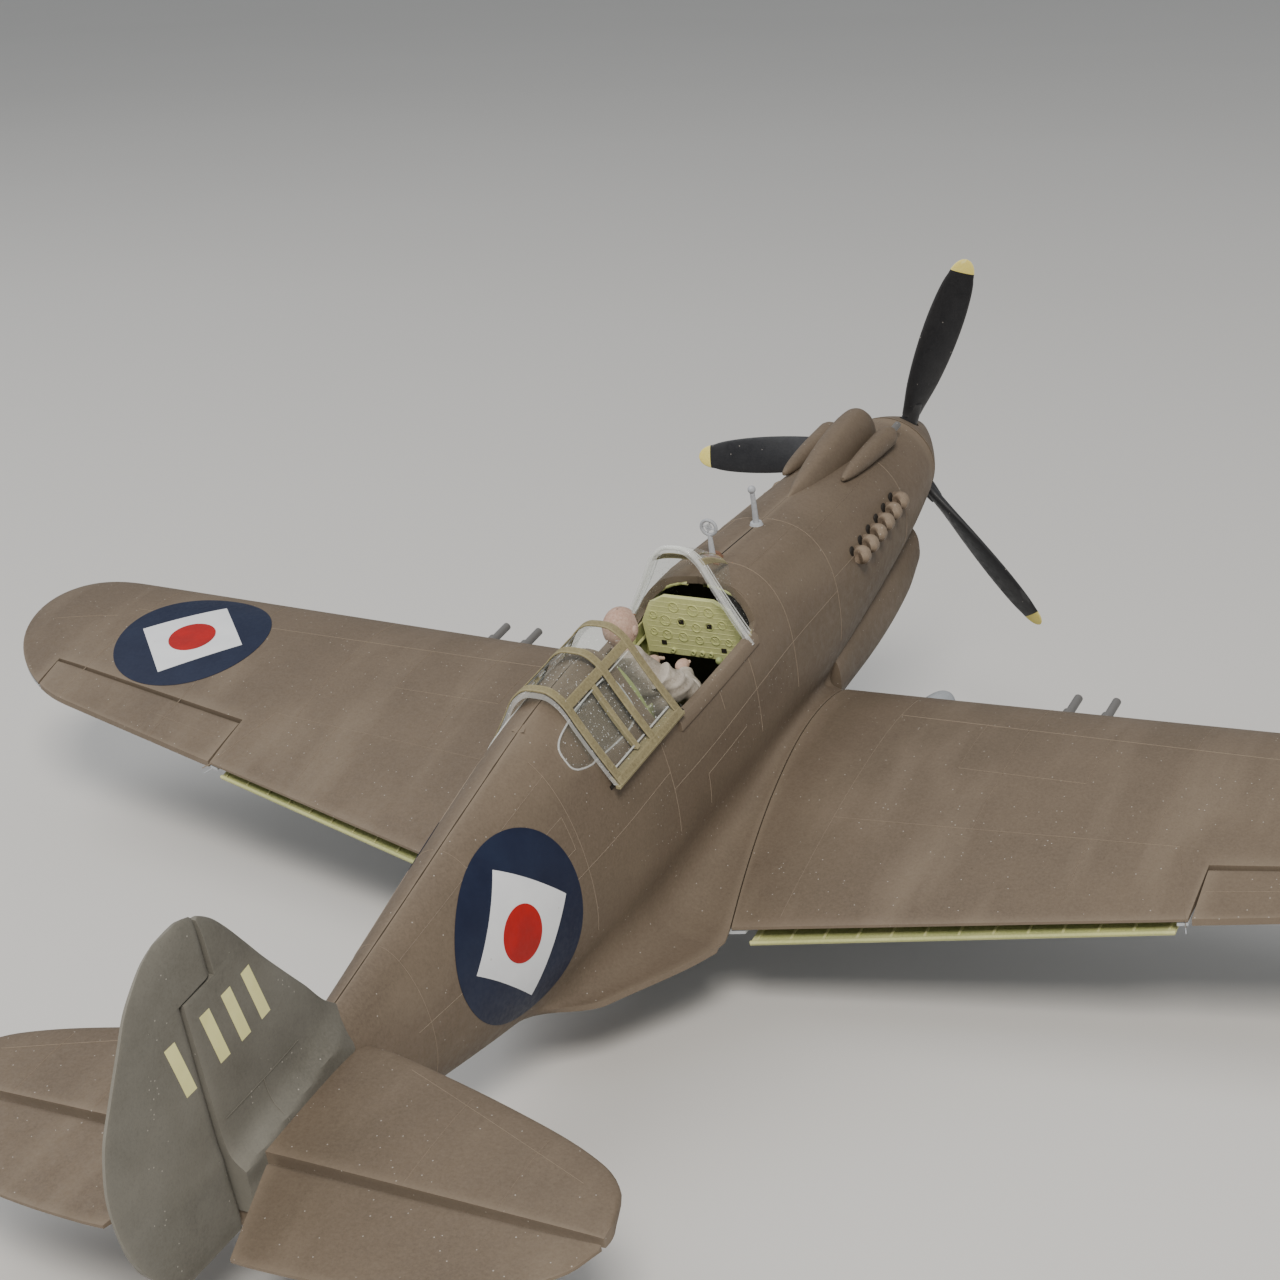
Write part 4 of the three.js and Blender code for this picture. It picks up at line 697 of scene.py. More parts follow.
def body_stations():
    even = np.arange(NOSE, TAIL, 0.055)
    near_opening = np.linspace(3.56, 3.84, 15)
    near_front = np.linspace(FILLET["front"], FILLET["full"], 9)
    exact = [NOSE, OPENING["front"], OPENING["rear"], FILLET["trail"], FILLET["trail"] + 0.02,
             GROOVE_END - 0.003, GROOVE_END + 0.003, TAIL]
    every = np.unique(np.round(np.concatenate([even, near_opening, near_front, exact]), 5))
    keep = np.concatenate([[True], np.diff(every) > 0.004])
    return np.unique(np.concatenate([every[keep], exact]))


def seam(y):
    """Half the gap along the spine, where the two halves were never quite closed on the rear deck."""
    ragged = 0.5 + 0.5 * np.sin(y * 23) * np.sin(y * 7.3 + 1)
    return 0.0012 + 0.0042 * ease(y, 5.0, 5.3) * (0.45 + 0.55 * ragged)


def fuselage_shape(side):
    ys = body_stations()
    outer, inner = body_grid(ys, COLUMNS)
    inner[..., 1] = np.clip(inner[..., 1], NOSE + WALL, TAIL - TAIL_WALL)
    turn = np.linspace(0, np.pi, outer.shape[1])
    cap = points_of(BORE * np.sin(turn), NOSE, BORE * np.cos(turn))[None]
    tail = np.broadcast_to([0, TAIL, 0.18], cap.shape)
    outer = np.concatenate([cap, outer, tail])
    inner = np.concatenate([cap + (0, WALL, 0), inner, tail - (0, TAIL_WALL, 0)])
    gap = np.concatenate([[0.0006], seam(ys), [0.001]])[:, None]
    outer[..., 0] = np.maximum(outer[..., 0], gap)
    inner[..., 0] = np.maximum(inner[..., 0], gap)
    rows = np.concatenate([[NOSE], ys, [TAIL]])
    present = np.ones((len(rows) - 1, outer.shape[1] - 1), bool)
    inside = (rows[:-1] >= OPENING["front"] - 1e-6) & (rows[1:] <= OPENING["rear"] + 1e-6)
    present[inside, : COLUMNS[0]] = False
    shape = Shape().slab(outer, inner, present)
    return shape.on(side)


REAR_WINDOW = {"front": 5.02, "rear": 5.76, "bottom": 0.56, "top": 0.88}


def window_outline(shrink, count=48):
    """The teardrop outline of a rear window, as y and z."""
    front, rear = REAR_WINDOW["front"], REAR_WINDOW["rear"]
    turn = turns(count)
    reach = lambda v: np.sign(v) * np.abs(v) ** 0.6
    y = (front + rear) / 2 + ((rear - front) / 2 - shrink) * reach(np.cos(turn))
    pinch = mix(1, 0.66, (y - front) / (rear - front))
    half = (REAR_WINDOW["top"] - REAR_WINDOW["bottom"]) / 2 - shrink
    z = (REAR_WINDOW["top"] + REAR_WINDOW["bottom"]) / 2 + half * pinch * reach(np.sin(turn))
    return y, z


def body_side(y, z, grow=0.0):
    """x of the fuselage's left side at a height."""
    return section(y, angle_at(y, z), grow)[0]


def deck_side(y, z):
    """x of the rear deck's left side, with the recess under the canopy."""
    return np.where(y < GROOVE_END, np.minimum(body_side(y, z), inside_canopy(z)), body_side(y, z))


for name, side in SIDES.items():
    half = piece(name + "_fuselage_skin", fuselage_shape(side), OLIVE, replaces=[name + "_fuselage_half"])
    y, z = window_outline(0.0)
    cut_away(half, Shape().loft([points_of(side * x, y, z) for x in (0.12, 0.7)]))

# ---- lines and films on surfaces -------------------------------------------------------------------


FILM = 0.0022  # thickness of a printed film
LINE = {"width": 0.005, "height": 0.0023, "root": 0.004, "step": 0.03}


def lie_on(surface, a, b, lift=0.0):
    """Points of a surface at parameters a and b, raised off it, and its outward normals there."""
    step = 1e-3
    a, b = np.broadcast_arrays(np.asarray(a, float), np.asarray(b, float))
    along_a = surface(a + step, b) - surface(a - step, b)
    normal = np.cross(along_a, surface(a, b + step) - surface(a, b - step))
    normal /= np.maximum(np.linalg.norm(normal, axis=-1, keepdims=True), 1e-12)
    return surface(a, b) + normal * lift, normal


def raised_line(shape, surface, course):
    """A fine raised line along straight runs between corners given in a surface's parameters."""
    for start, end in zip(course[:-1], course[1:]):
        count = max(3, int(math.dist(start, end) / LINE["step"]))
        a, b = np.linspace(start, end, count).T
        path, normal = lie_on(surface, a, b)
        across = np.cross(np.gradient(path, axis=0), normal)
        across *= LINE["width"] / 2 / np.linalg.norm(across, axis=-1, keepdims=True)
        low = path - normal * LINE["root"]
        shape.loft(np.stack([low - across, path + normal * LINE["height"], low + across], 1))


def lines_piece(name, surface, courses, finish, **settings):
    """The piece that all raised lines of a surface make."""
    lines = Shape()
    for course in courses:
        raised_line(lines, surface, course)
    piece(name, lines, finish, sharp=70, **settings)


def film(surface, centre, radius, lift, rings=16, spokes=120):
    """A thin film on a surface, with one radius or a radius for each direction."""
    turn, share = turns(spokes), np.linspace(0, 1, rings)[:, None]
    reach = np.broadcast_to(radius, spokes)
    a, b = centre[0] + share * reach * np.cos(turn), centre[1] + share * reach * np.sin(turn)
    top, low = (lie_on(surface, a, b, lift + more)[0] for more in (FILM, 0))
    return Shape().loft(np.concatenate([top, low[::-1]]), caps=False)


def body_surface(angle, y):
    """The fuselage skin at an angle from the top, which is negative on the right."""
    x, z = section(y, np.abs(angle))
    return points_of(np.sign(angle) * x, y, z)


def wing_surface(x, y):
    return points_of(x, y, wing_top(x, y))


def wing_underside(y, x):
    return points_of(x, y, wing_heights(x, y)[1])


def diamond(radius, spokes=120):
    """Radius of a square standing on its corner, for each direction."""
    turn = turns(spokes)
    return radius / (np.abs(np.cos(turn)) + np.abs(np.sin(turn)))


def roundel(name, surface, centre, size):
    """A generic badge of three films that lie on each other."""
    layers = (("_disc", size, NAVY), ("_diamond", diamond(size * 0.76), WHITE), ("_dot", size * 0.3, RED))
    for i, (part, radius, finish) in enumerate(layers):
        piece(name + part, film(surface, centre, radius, 0.001 + 0.0024 * i), finish, sharp=60)


def girth_surface(y0, z0, side):
    """The fuselage skin by distance aft of y0 and distance round the skin down from height z0."""
    angles = np.linspace(0.02, np.pi - 0.02, 500)
    x, z = section(y0, angles)
    run = np.concatenate([[0], np.cumsum(np.hypot(np.diff(x), np.diff(z)))])
    start = np.interp(angle_at(y0, z0), angles, run)
    return lambda down, aft: body_surface(side * np.interp(start + side * down, run, angles), y0 + aft)


for name, side in SIDES.items():
    roundel(name + "_fuselage_roundel", girth_surface(6.6, 0.17, side), (0, 0), 0.54)
roundel("left_wing_roundel", wing_surface, (4.25, 3.42), 0.57)

# Raised panel lines of the fuselage, as runs of (angle from the top, y) on the left side.
BODY_LINES = [
    [(0.02, 1.34), (2.2, 1.34)], [(0.02, 2.62), (1.9, 2.62)], [(0.35, 2.62), (0.35, 3.34)],
    [(1.28, 1.34), (1.28, 2.62)], [(0.02, 3.34), (1.75, 3.34)], [(1.42, 2.62), (1.42, 5.0)],
    [(1.3, 5.0), (1.42, 7.5)], [(0.35, 5.95), (1.9, 5.95)], [(0.55, 5.95), (0.55, 7.4)],
    [(0.1, 6.72), (2.4, 6.72)], [(0.1, 7.4), (2.6, 7.4)], [(1.02, 3.9), (1.72, 3.9)],
    [(0.95, 5.0), (1.75, 5.0)], [(1.0, 4.3), (1.3, 4.3)], [(1.55, 4.1), (1.55, 4.62), (1.8, 4.62)],
    [(0.62, 1.34), (0.62, 2.62)], [(0.9, 6.0), (1.16, 6.0), (1.16, 6.3), (0.9, 6.3), (0.9, 6.0)],
]


def on_side(side, courses):
    """Courses given for the left side, on either side."""
    return [[(side * a, b) for a, b in course] for course in courses]


for name, side in SIDES.items():
    lines_piece(name + "_fuselage_lines", body_surface, on_side(side, BODY_LINES), LINE_PAINT)

# ---- wings ---------------------------------------------------------------------------------------

ROWS_FRONT, ROWS_BACK = 24, 9
SPLIT, THINNEST = 0.0045, 0.004  # half the gap between the skins, and a skin's least thickness
BETWEEN = 3.29  # between the flap's outer end and the aileron's inner end
TIP_COLUMNS = WING["half"] - (WING["half"] - AILERON["outer"]) * np.linspace(1, 0.0, 16)[1:] ** 2
OUTER_COLUMNS = np.concatenate([
    np.linspace(FLAP["inner"], FLAP["outer"], 24), [BETWEEN],
    np.linspace(AILERON["inner"], AILERON["outer"], 20), TIP_COLUMNS])


def plan_grid(columns, root=False):
    """x and y of the wing's grid, with rows from the leading edge past the hinge line to the trailing edge."""
    front, back = ramp(ROWS_FRONT)[:, None], np.linspace(0, 1, ROWS_BACK)[1:, None]
    x = np.tile(np.asarray(columns, float), (ROWS_FRONT + ROWS_BACK - 1, 1))
    share = np.where(np.abs(x) < BETWEEN, FLAP["hinge"], AILERON["hinge"])
    for _ in range(4 if root else 1):
        hinge = hinge_line(x, share)
        ahead = mix(lead_edge(x)[:ROWS_FRONT], hinge[:ROWS_FRONT], front)
        y = np.concatenate([ahead, mix(hinge[ROWS_FRONT:], trail_edge(x)[ROWS_FRONT:], back)])
        if root:
            inboard = np.clip((columns - columns[0]) / (FLAP["inner"] - columns[0]), 0, 1)
            edge = mix(root_edge(y) + GAP * 0.6, FLAP["inner"], inboard)
            x = np.where(columns < FLAP["inner"], edge, x)
    return x, y


def bay(columns, *parts):
    """Cells of the wing grid that stay once the bays of the named parts are cut from it."""
    middle = np.abs(columns[:-1] + columns[1:]) / 2
    stay = np.ones((ROWS_FRONT + ROWS_BACK - 2, len(columns) - 1), bool)
    for part in parts:
        taken = (middle > part["inner"]) & (middle < part["outer"])
        stay[ROWS_FRONT - 1 :, taken] = False
    return stay


def upper_wing(side):
    columns = np.concatenate([np.linspace(0.5, FLAP["inner"], 7)[:-1], OUTER_COLUMNS])
    x, y = plan_grid(columns, root=True)
    top = wing_top(x, y)
    low = np.minimum(chord_level(x, y) + SPLIT, top - THINNEST)
    return Shape().slab(points_of(x, y, top), points_of(x, y, low), bay(columns, AILERON)).on(side)


def lower_wing():
    inner = np.linspace(-FLAP["inner"], FLAP["inner"], 15)[1:-1]
    columns = np.concatenate([-OUTER_COLUMNS[::-1], inner, OUTER_COLUMNS])
    x, y = plan_grid(columns)
    low = wing_heights(x, y)[1]
    top = np.maximum(chord_level(x, y) - SPLIT, low + THINNEST)
    shape = Shape().slab(points_of(x, y, low), points_of(x, y, top), bay(columns, AILERON, FLAP))
    return shape.tube([(0, 3.75, -0.8), (0, 3.75, -0.915), (0, 3.75, -0.925)], [0.22, 0.22, 0.21], 48)


def aileron(side):
    share, nose = (line[:, None] for line in nosed(0.13, 8, 12))
    inset = 0.006 + 0.014 * share
    x = mix(AILERON["inner"] + inset, AILERON["outer"] - inset, np.linspace(0, 1, 24)[None, :])
    y = mix(hinge_line(x, AILERON["hinge"]) + 0.004, trail_edge(x), share)
    top, low = wing_heights(x, y)
    middle = (top + low) / 2
    return Shape().slab(points_of(x, y, mix(middle, top, nose)), points_of(x, y, mix(middle, low, nose))).on(side)


def lowered(points):
    """Turns points of a closed flap down about its hinge in the wing's lower skin."""
    points = np.asarray(points, float)
    x, y, z = np.moveaxis(points, -1, 0)
    hinge_y = hinge_line(x, FLAP["hinge"])
    hinge_z = wing_heights(x, hinge_y)[1]
    c, s = math.cos(FLAP["lowered"]), math.sin(FLAP["lowered"])
    aft, up = y - hinge_y, z - hinge_z
    return points_of(x, hinge_y + aft * c + up * s, hinge_z + up * c - aft * s)


def flap(side):
    x = np.linspace(FLAP["inner"] + 0.014, FLAP["outer"] - 0.014, 40)[None, :]
    share = np.linspace(0, 1, 12)[:, None]
    y = mix(hinge_line(x, FLAP["hinge"]) + 0.008, trail_edge(x) - 0.004, share)
    low, skin = wing_heights(x, y)[1], 0.014
    inside = lowered(points_of(x, y, low + skin))
    shape = Shape().slab(lowered(points_of(x, y, low)), inside, paint=(0, 1, 1))
    for at in np.linspace(FLAP["inner"] + 0.05, FLAP["outer"] - 0.05, 13):
        run = np.linspace(0.04, 0.97, 8)
        rib_y = mix(hinge_line(at, FLAP["hinge"]), trail_edge(at), run)
        rib_low = wing_heights(at, rib_y)[1] + skin * 0.5
        rib_top = rib_low + 0.034 * (1 - run) + 0.01
        near, far = at - 0.007, at + 0.007
        shape.loft([lowered([(near, b, c), (far, b, c), (far, b, d), (near, b, d)])
                    for b, c, d in zip(rib_y, rib_low, rib_top)], 1)
    edge_x = x[0]
    edge_y = trail_edge(edge_x) - 0.012
    edge_z = wing_heights(edge_x, edge_y)[1] + 0.016
    return shape.tube(lowered(points_of(edge_x, edge_y, edge_z)), 0.013, 10, 1).on(side)


# Raised lines on the upper wing, as runs of (x, y) on the left side.
WING_LINES = [
    [(1.04, 4.21), (3.12, 4.06), (3.33, 4.67)], [(1.04, 3.1), (4.9, 3.18)], [(1.9, 2.72), (1.9, 4.14)],
    [(1.62, 3.1), (1.62, 3.62), (2.42, 3.62), (2.42, 3.1)], [(2.95, 2.76), (2.95, 4.06)],
    [(3.86, 2.78), (3.92, 4.46)], [(4.78, 2.82), (4.86, 4.24)], [(1.04, 2.82), (1.04, 5.05)],
    [(2.6, 4.1), (2.6, 4.66)], [(5.0, 3.3), (5.5, 3.42)],
]
TAB_LINE = [(3.36, 0.5), (4.05, 0.5), (4.05, 0.97)]  # the aileron's tab, as (x, share of its chord)
HATCHES = ((1.6, 3.9), (2.3, 3.3), (2.9, 4.2), (3.9, 3.6), (4.6, 4.0), (0.5, 4.4))  # x and y, under the wing
HATCH_RADIUS = 0.11

piece("wing_underside", lower_wing(), BELLY, slot="belly_grey_paint", replaces=["lower_wing"])
courses = []
for side in SIDES.values():
    around = [(HATCH_RADIUS * math.cos(t), HATCH_RADIUS * math.sin(t)) for t in np.linspace(0, 2 * np.pi, 13)]
    courses += [[(y + aft, side * x + out) for aft, out in around] for x, y in HATCHES]
    courses += [[(y, side * x) for x, y in course] for course in WING_LINES]
lines_piece("wing_underside_lines", wing_underside, courses, BELLY, slot="belly_grey_paint")
for name, side in SIDES.items():
    piece(name + "_wing_skin", upper_wing(side), OLIVE, replaces=[name + "_upper_wing"])
    piece(name + "_aileron_skin", aileron(side), OLIVE, body=name + "_aileron", replaces=[name + "_aileron"])
    piece(name + "_flap_skin", flap(side), [BELLY, PANEL_PAINT], body=name + "_flap",
          slot="belly_grey_paint", replaces=[name + "_flap"])
    lines_piece(name + "_wing_lines", wing_surface, on_side(side, WING_LINES), LINE_PAINT)
    tab = [(x, float(mix(hinge_line(x, AILERON["hinge"]), trail_edge(x), share))) for x, share in TAB_LINE]
    lines_piece(name + "_aileron_lines", wing_surface, on_side(side, [tab]), LINE_PAINT, body=name + "_aileron")

# ---- tail ----------------------------------------------------------------------------------------

FIN = {"foot": 0.1, "top": 1.612, "hinge": 8.86}
HORN = {"front": 8.62, "low": 1.315, "high": 1.33, "top": 1.675}  # the rudder ahead of its hinge
FIN_GAP, TAIL_GAP = 0.003, 0.015
TAILPLANE = {"level": 0.3, "half": 1.95, "hinge": 8.72}
fin_front = smooth((0.1, 7.1), (0.3, 7.45), (0.55, 7.82), (0.8, 8.0), (1.12, 8.22), (1.28, 8.32),
                   (1.46, 8.437), (1.56, 8.52), (1.64, 8.63), (1.675, 8.72))
rudder_back = smooth((-0.02, 9.3), (0.3, 9.53), (0.7, 9.6), (1.0, 9.53), (1.2, 9.4), (1.38, 9.27),
                     (1.49, 9.19), (1.57, 9.1), (1.645, 8.99), (1.675, 8.9))
tail_front = smooth((0, 7.78), (0.4, 7.84), (1.23, 8.06), (1.7, 8.24), (1.88, 8.4), (1.95, 8.6))
tail_back = smooth((0, 9.3), (0.5, 9.34), (1.2, 9.28), (1.65, 9.12), (1.88, 8.92), (1.95, 8.76))


def fin_half(y, z):
    """Half the thickness of the fin and rudder, with the flare at the fin's foot."""
    u = np.clip((y - fin_front(z)) / (rudder_back(z) - fin_front(z)), 0, 1)
    crown = np.sqrt(np.clip(1 - (np.clip(z - 1.5, 0, 1) / 0.18) ** 2, 0.01, 1))
    flare = 0.09 * np.exp(-np.clip(z - body_top(y) + 0.02, 0, 9) / 0.05) * np.minimum(1, u * 6)
    return (mix(0.07, 0.034, z / FIN["top"]) * foil(u) + 0.007 * u) * crown + flare


def fin_surface(side):
    return lambda y, z: points_of(side * fin_half(y, z), y, z)


def fin():
    low = np.linspace(FIN["foot"], HORN["low"] - 0.006, 48)
    z = np.concatenate([low, np.linspace(HORN["low"] - 0.004, FIN["top"], 16)])[:, None]
    back = np.where(z < HORN["low"] - 0.005, FIN["hinge"], HORN["front"]) - FIN_GAP
    y = mix(fin_front(z), back, ramp(28)[None, :])
    half = fin_half(y, z)
    return Shape().slab(points_of(half, y, z), points_of(-half, y, z))


def rudder():
    upper = np.linspace(HORN["high"], HORN["top"], 22)
    z = np.concatenate([np.linspace(0.02, HORN["low"] + 0.004, 40), upper])[:, None]
    share, nose = (line[None, :] for line in nosed(0.09, 8, 24))
    front = np.where(z < HORN["high"], FIN["hinge"], np.maximum(HORN["front"], fin_front(z))) + FIN_GAP
    y = mix(front, np.maximum(rudder_back(z), front + 0.04), share)
    half = fin_half(y, np.maximum(z, 0.45)) * nose * np.minimum(1, np.maximum(0.3, z / 0.3 + 0.7))
    return Shape().slab(points_of(half, y, z), points_of(-half, y, z))


def tail_half(x, y):
    x = np.abs(x)
    u = np.clip((y - tail_front(x)) / np.maximum(tail_back(x) - tail_front(x), 0.02), 0, 1)
    return mix(0.08, 0.032, x / TAILPLANE["half"]) * foil(u) + 0.008 * u


def tail_surface(x, y):
    return points_of(x, y, TAILPLANE["level"] + tail_half(x, y))


def tail_slab(x, y, nose=1.0):
    half = tail_half(x, y) * nose
    level = TAILPLANE["level"]
    return Shape().slab(points_of(x, y, level + half), points_of(x, y, level - half))


def stabilizer(side):
    x = np.concatenate([np.linspace(0.08, 1.6, 26), 1.95 - 0.35 * np.linspace(1, 0, 12)[1:] ** 2])[None, :]
    share = ramp(24)[:, None]
    return tail_slab(x + 0 * share, mix(tail_front(x), TAILPLANE["hinge"] - TAIL_GAP, share)).on(side)


def elevator(side):
    along = np.concatenate([np.linspace(0, 0.8, 24), 1 - 0.2 * np.linspace(1, 0, 12)[1:] ** 2])[None, :]
    share, nose = (line[:, None] for line in nosed(0.1, 7, 14))
    front = TAILPLANE["hinge"] + TAIL_GAP
    y = front + 0 * along * share
    for _ in range(3):
        inner = 0.2 + np.maximum(0, y - 8.78) * 0.29
        x = mix(inner, TAILPLANE["half"], along)
        y = mix(front, tail_back(x), share)
    return tail_slab(x, y, np.maximum(nose, 0.02)).on(side)


FIN_LINES = [[(8.2, 0.62), (8.8, 0.62)], [(8.5, 0.36), (8.5, 0.62)]]
TAIL_LINES = [[(0.5, 7.95), (1.7, 8.42)], [(0.9, 8.05), (0.9, 8.68)], [(1.4, 8.2), (1.4, 8.68)]]
piece("fin_skin", fin(), TAIL_OLIVE_WITH_PAINTED_LIGHT)
piece("rudder_skin", rudder(), TAIL_OLIVE_WITH_PAINTED_LIGHT, body="rudder", replaces=["rudder"])
lines_piece("fin_lines", fin_surface(-1), FIN_LINES, TAIL_OLIVE_WITH_PAINTED_LIGHT)
for name, side in SIDES.items():
    piece(name + "_stabilizer_skin", stabilizer(side), OLIVE, replaces=[name + "_stabilizer"])
    piece(name + "_elevator_skin", elevator(side), OLIVE, body=name + "_elevator", replaces=[name + "_elevator"])
    lines_piece(name + "_stabilizer_lines", tail_surface, on_side(side, TAIL_LINES), LINE_PAINT)


def bar_film(surface, corners, lift=0.002, count=14):
    """A four-cornered film on a surface."""
    p, q = np.meshgrid(np.linspace(0, 1, count), np.linspace(0, 1, count), indexing="ij")
    a, b = (mix(mix(c[0], c[1], p), mix(c[3], c[2], p), q) for c in np.transpose(corners))
    return Shape().slab(*(lie_on(surface, a, b, lift + more)[0] for more in (FILM, 0)))


BAR = {"low": 0.89, "high": 1.19, "width": 0.075, "lean": 0.05, "lift": 0.003}
BAR_PLACES = {"airframe": (8.32, 8.49, 8.66), "rudder": (8.92,)}
for name, side in SIDES.items():
    for body, places in BAR_PLACES.items():
        bars = Shape()
        for y in places:
            low = [(y + at, BAR["low"]) for at in (0, BAR["width"])]
            high = [(y + BAR["lean"] + at, BAR["high"]) for at in (BAR["width"], 0)]
            bars.join(bar_film(fin_surface(side), low + high), lambda points: points + (side * BAR["lift"], 0, 0))
        piece(name + "_" + body + "_bars", bars, NUMBER_YELLOW, body=body, sharp=60)

# ---- nose ----------------------------------------------------------------------------------------

chin_width = smooth((0.86, 0.28), (1.2, 0.33), (1.8, 0.37), (2.58, 0.41))
chin_bottom = smooth((0.86, -0.74), (1.2, -0.83), (1.8, -0.88), (2.58, -0.84))
scoop_top = smooth((0.98, 0.57), (1.06, 0.628), (1.3, 0.652), (1.6, 0.642), (2.0, 0.592), (2.25, 0.545))
scoop_width = smooth((0.98, 0.1), (1.1, 0.125), (1.5, 0.125), (2.0, 0.085), (2.28, 0.02))


def signed_power(value, power):
    return np.sign(value) * np.abs(value) ** power


def chin_ring(y, shrink):
    turn = turns(72)
    low, high = chin_bottom(y) + shrink, -0.3 - shrink
    z = (low + high) / 2 + (high - low) / 2 * signed_power(np.cos(turn), 0.75)
    return points_of((chin_width(y) - shrink) * signed_power(np.sin(turn), 0.75), y, z)


def chin():
    """The chin cowling's shell, with a rounded lip and an intake."""
    outer = [chin_ring(y, 0) for y in np.linspace(0.87, 2.62, 30)]
    lip = [chin_ring(y, shrink) for y, shrink in ((0.875, 0.042), (0.856, 0.03), (0.852, 0.012))]
    inner = [chin_ring(y, 0.045) for y in np.linspace(1.2, 0.9, 6)]
    return Shape().loft(np.array(inner + lip + outer))


def radiators():
    """Three round radiators: a ring, a dark core and a grid of wires each."""
    shape, wire = Shape(), 0.003
    for x, z, radius in ((-0.135, -0.5, 0.122), (0.135, -0.5, 0.122), (0, -0.67, 0.1)):
        ring = [(radius - 0.02, -0.02), (radius, -0.02), (radius, 0.14), (radius - 0.02, 0.14)]
        shape.lathe(ring, (x, 1.0, z), (0, 1, 0), 40, 0)
        # The dark core paints in the shade deep inside the radiator.
        core = [(0.001, 0), (radius - 0.012, 0), (radius - 0.012, 0.1), (0.001, 0.1)]
        shape.lathe(core, (x, 1.04, z), (0, 1, 0), 40, 1)
        for at in np.arange(-4, 5) * radius / 5:
            half = math.sqrt(radius**2 - at**2) - 0.012
            shape.box((x + at - wire, 1.03, z - half), (x + at + wire, 1.045, z + half))
            shape.box((x - half, 1.03, z + at - wire), (x + half, 1.045, z + at + wire))
    return shape


def scoop_ring(y, shrink):
    turn, base = np.linspace(-np.pi / 2, np.pi / 2, 41), 0.3
    x = (scoop_width(y) - shrink) * signed_power(np.sin(turn), 0.8)
    return points_of(x, y, base + (scoop_top(y) - shrink - base) * np.cos(turn) ** 0.7)


def scoop():
    ys = np.concatenate([np.linspace(0.98, 1.2, 8), np.linspace(1.2, 2.25, 24)[1:]])
    outer = [scoop_ring(y, 0) for y in ys]
    inner = [scoop_ring(max(y, 0.985), min(0.028, 0.4 * scoop_width(y))) for y in ys]
    return Shape().slab(np.array(outer), np.array(inner))


NOSE_GUN = {"x": 0.215, "front": 1.02, "rear": 1.84, "z": 0.435, "radius": 0.076, "rise": 0.055}


def gun_fairing(side):
    gun, turn, rings = NOSE_GUN, turns(36), []
    for share in np.linspace(0, 1, 26):
        taper = math.sqrt(max(1 - share * share * 0.97, 0.02)) * min(1, 0.7 + share * 5)
        x = side * gun["x"] + gun["radius"] * taper * np.sin(turn)
        z = gun["z"] + share * gun["rise"] + gun["radius"] * taper * np.cos(turn)
        rings.append(points_of(x, mix(gun["front"], gun["rear"], share), z))
    return Shape().loft(rings)


def gun_barrel(x, z, front, rear, radius):
    """A hollow barrel along Y."""
    length, bore, deep = rear - front, radius * 0.55, 0.1
    profile = [(bore, 0), (radius, 0), (radius, length), (0.001, length), (0.001, deep), (bore, deep)]
    return Shape().lathe(profile, (x, front, z), (0, 1, 0), 24)


piece("chin_skin", chin(), OLIVE, replaces=["chin_cowling"])
piece("radiator_cores", radiators(), [ALUMINIUM, SHADE_AND_JOINT_BLACK], slot="bare_metal")
piece("scoop_skin", scoop(), OLIVE, replaces=["carburettor_scoop"])
# A dark ball deep in the scoop paints in the shade of its intake.
piece("scoop_throat_shade", Shape().ball((0, 1.35, 0.52), (0.09, 0.2, 0.06)), SHADE_AND_JOINT_BLACK)

STACK = {"front": 1.45, "pitch": 0.155, "count": 6, "z": 0.165}
# A stub's course out of the cowling: distance out, distance aft and radius.
STUB = ((-0.06, -0.02, 0.04), (0.0, -0.012, 0.044), (0.022, 0.0, 0.056), (0.04, 0.016, 0.064),
        (0.052, 0.034, 0.062), (0.056, 0.05, 0.05), (0.05, 0.058, 0.03))
WING_GUNS = {"inner": 1.976, "outer": 2.23}
for name, side in SIDES.items():
    piece(name + "_gun_fairing_skin", gun_fairing(side), OLIVE, replaces=[name + "_gun_fairing"])
    piece(name + "_nose_gun_tube", gun_barrel(side * NOSE_GUN["x"], NOSE_GUN["z"], 0.88, 1.2, 0.024), GUNMETAL,
          slot="gunmetal", replaces=[name + "_nose_gun"])
    stubs, shadow, z = Shape(), Shape(), STACK["z"]
    for y in STACK["front"] + np.arange(STACK["count"]) * STACK["pitch"]:
        wall = float(body_side(y, z))
        path = [(side * (wall + out), y + aft, z) for out, aft, _ in STUB]
        stubs.tube(path, [radius for _, _, radius in STUB], 28)
        # Dark balls on the cowling beside each stub paint in the shadow between and under the stubs.
        shadow.ball((side * (wall - 0.006), y + 0.02, z - 0.03), (0.012, 0.075, 0.062))
        shadow.ball((side * (wall - 0.008), y + 0.06, z + 0.035), (0.012, 0.034, 0.04))
    piece(name + "_exhaust_stubs", stubs, EXHAUST, slot="exhaust_brown", replaces=[name + "_exhaust_stacks"])
    piece(name + "_exhaust_shadow", shadow, SHADE_AND_JOINT_BLACK, slot="exhaust_brown")
    for which, out in WING_GUNS.items():
        x, gun = side * out, name + "_" + which + "_wing_gun"
        front = float(lead_edge(x))
        z = float(chord_level(x, front)) + 0.02
        barrel = gun_barrel(x, z, front - 0.2, front + 0.05, 0.028)
        barrel.lathe([(0.03, 0), (0.04, 0.01), (0.04, 0.05), (0.03, 0.06)], (x, front - 0.02, z), (0, 1, 0), 24)
        piece(gun + "_barrel", barrel, GUNMETAL, slot="gunmetal", replaces=[gun])

# ---- sights --------------------------------------------------------------------------------------

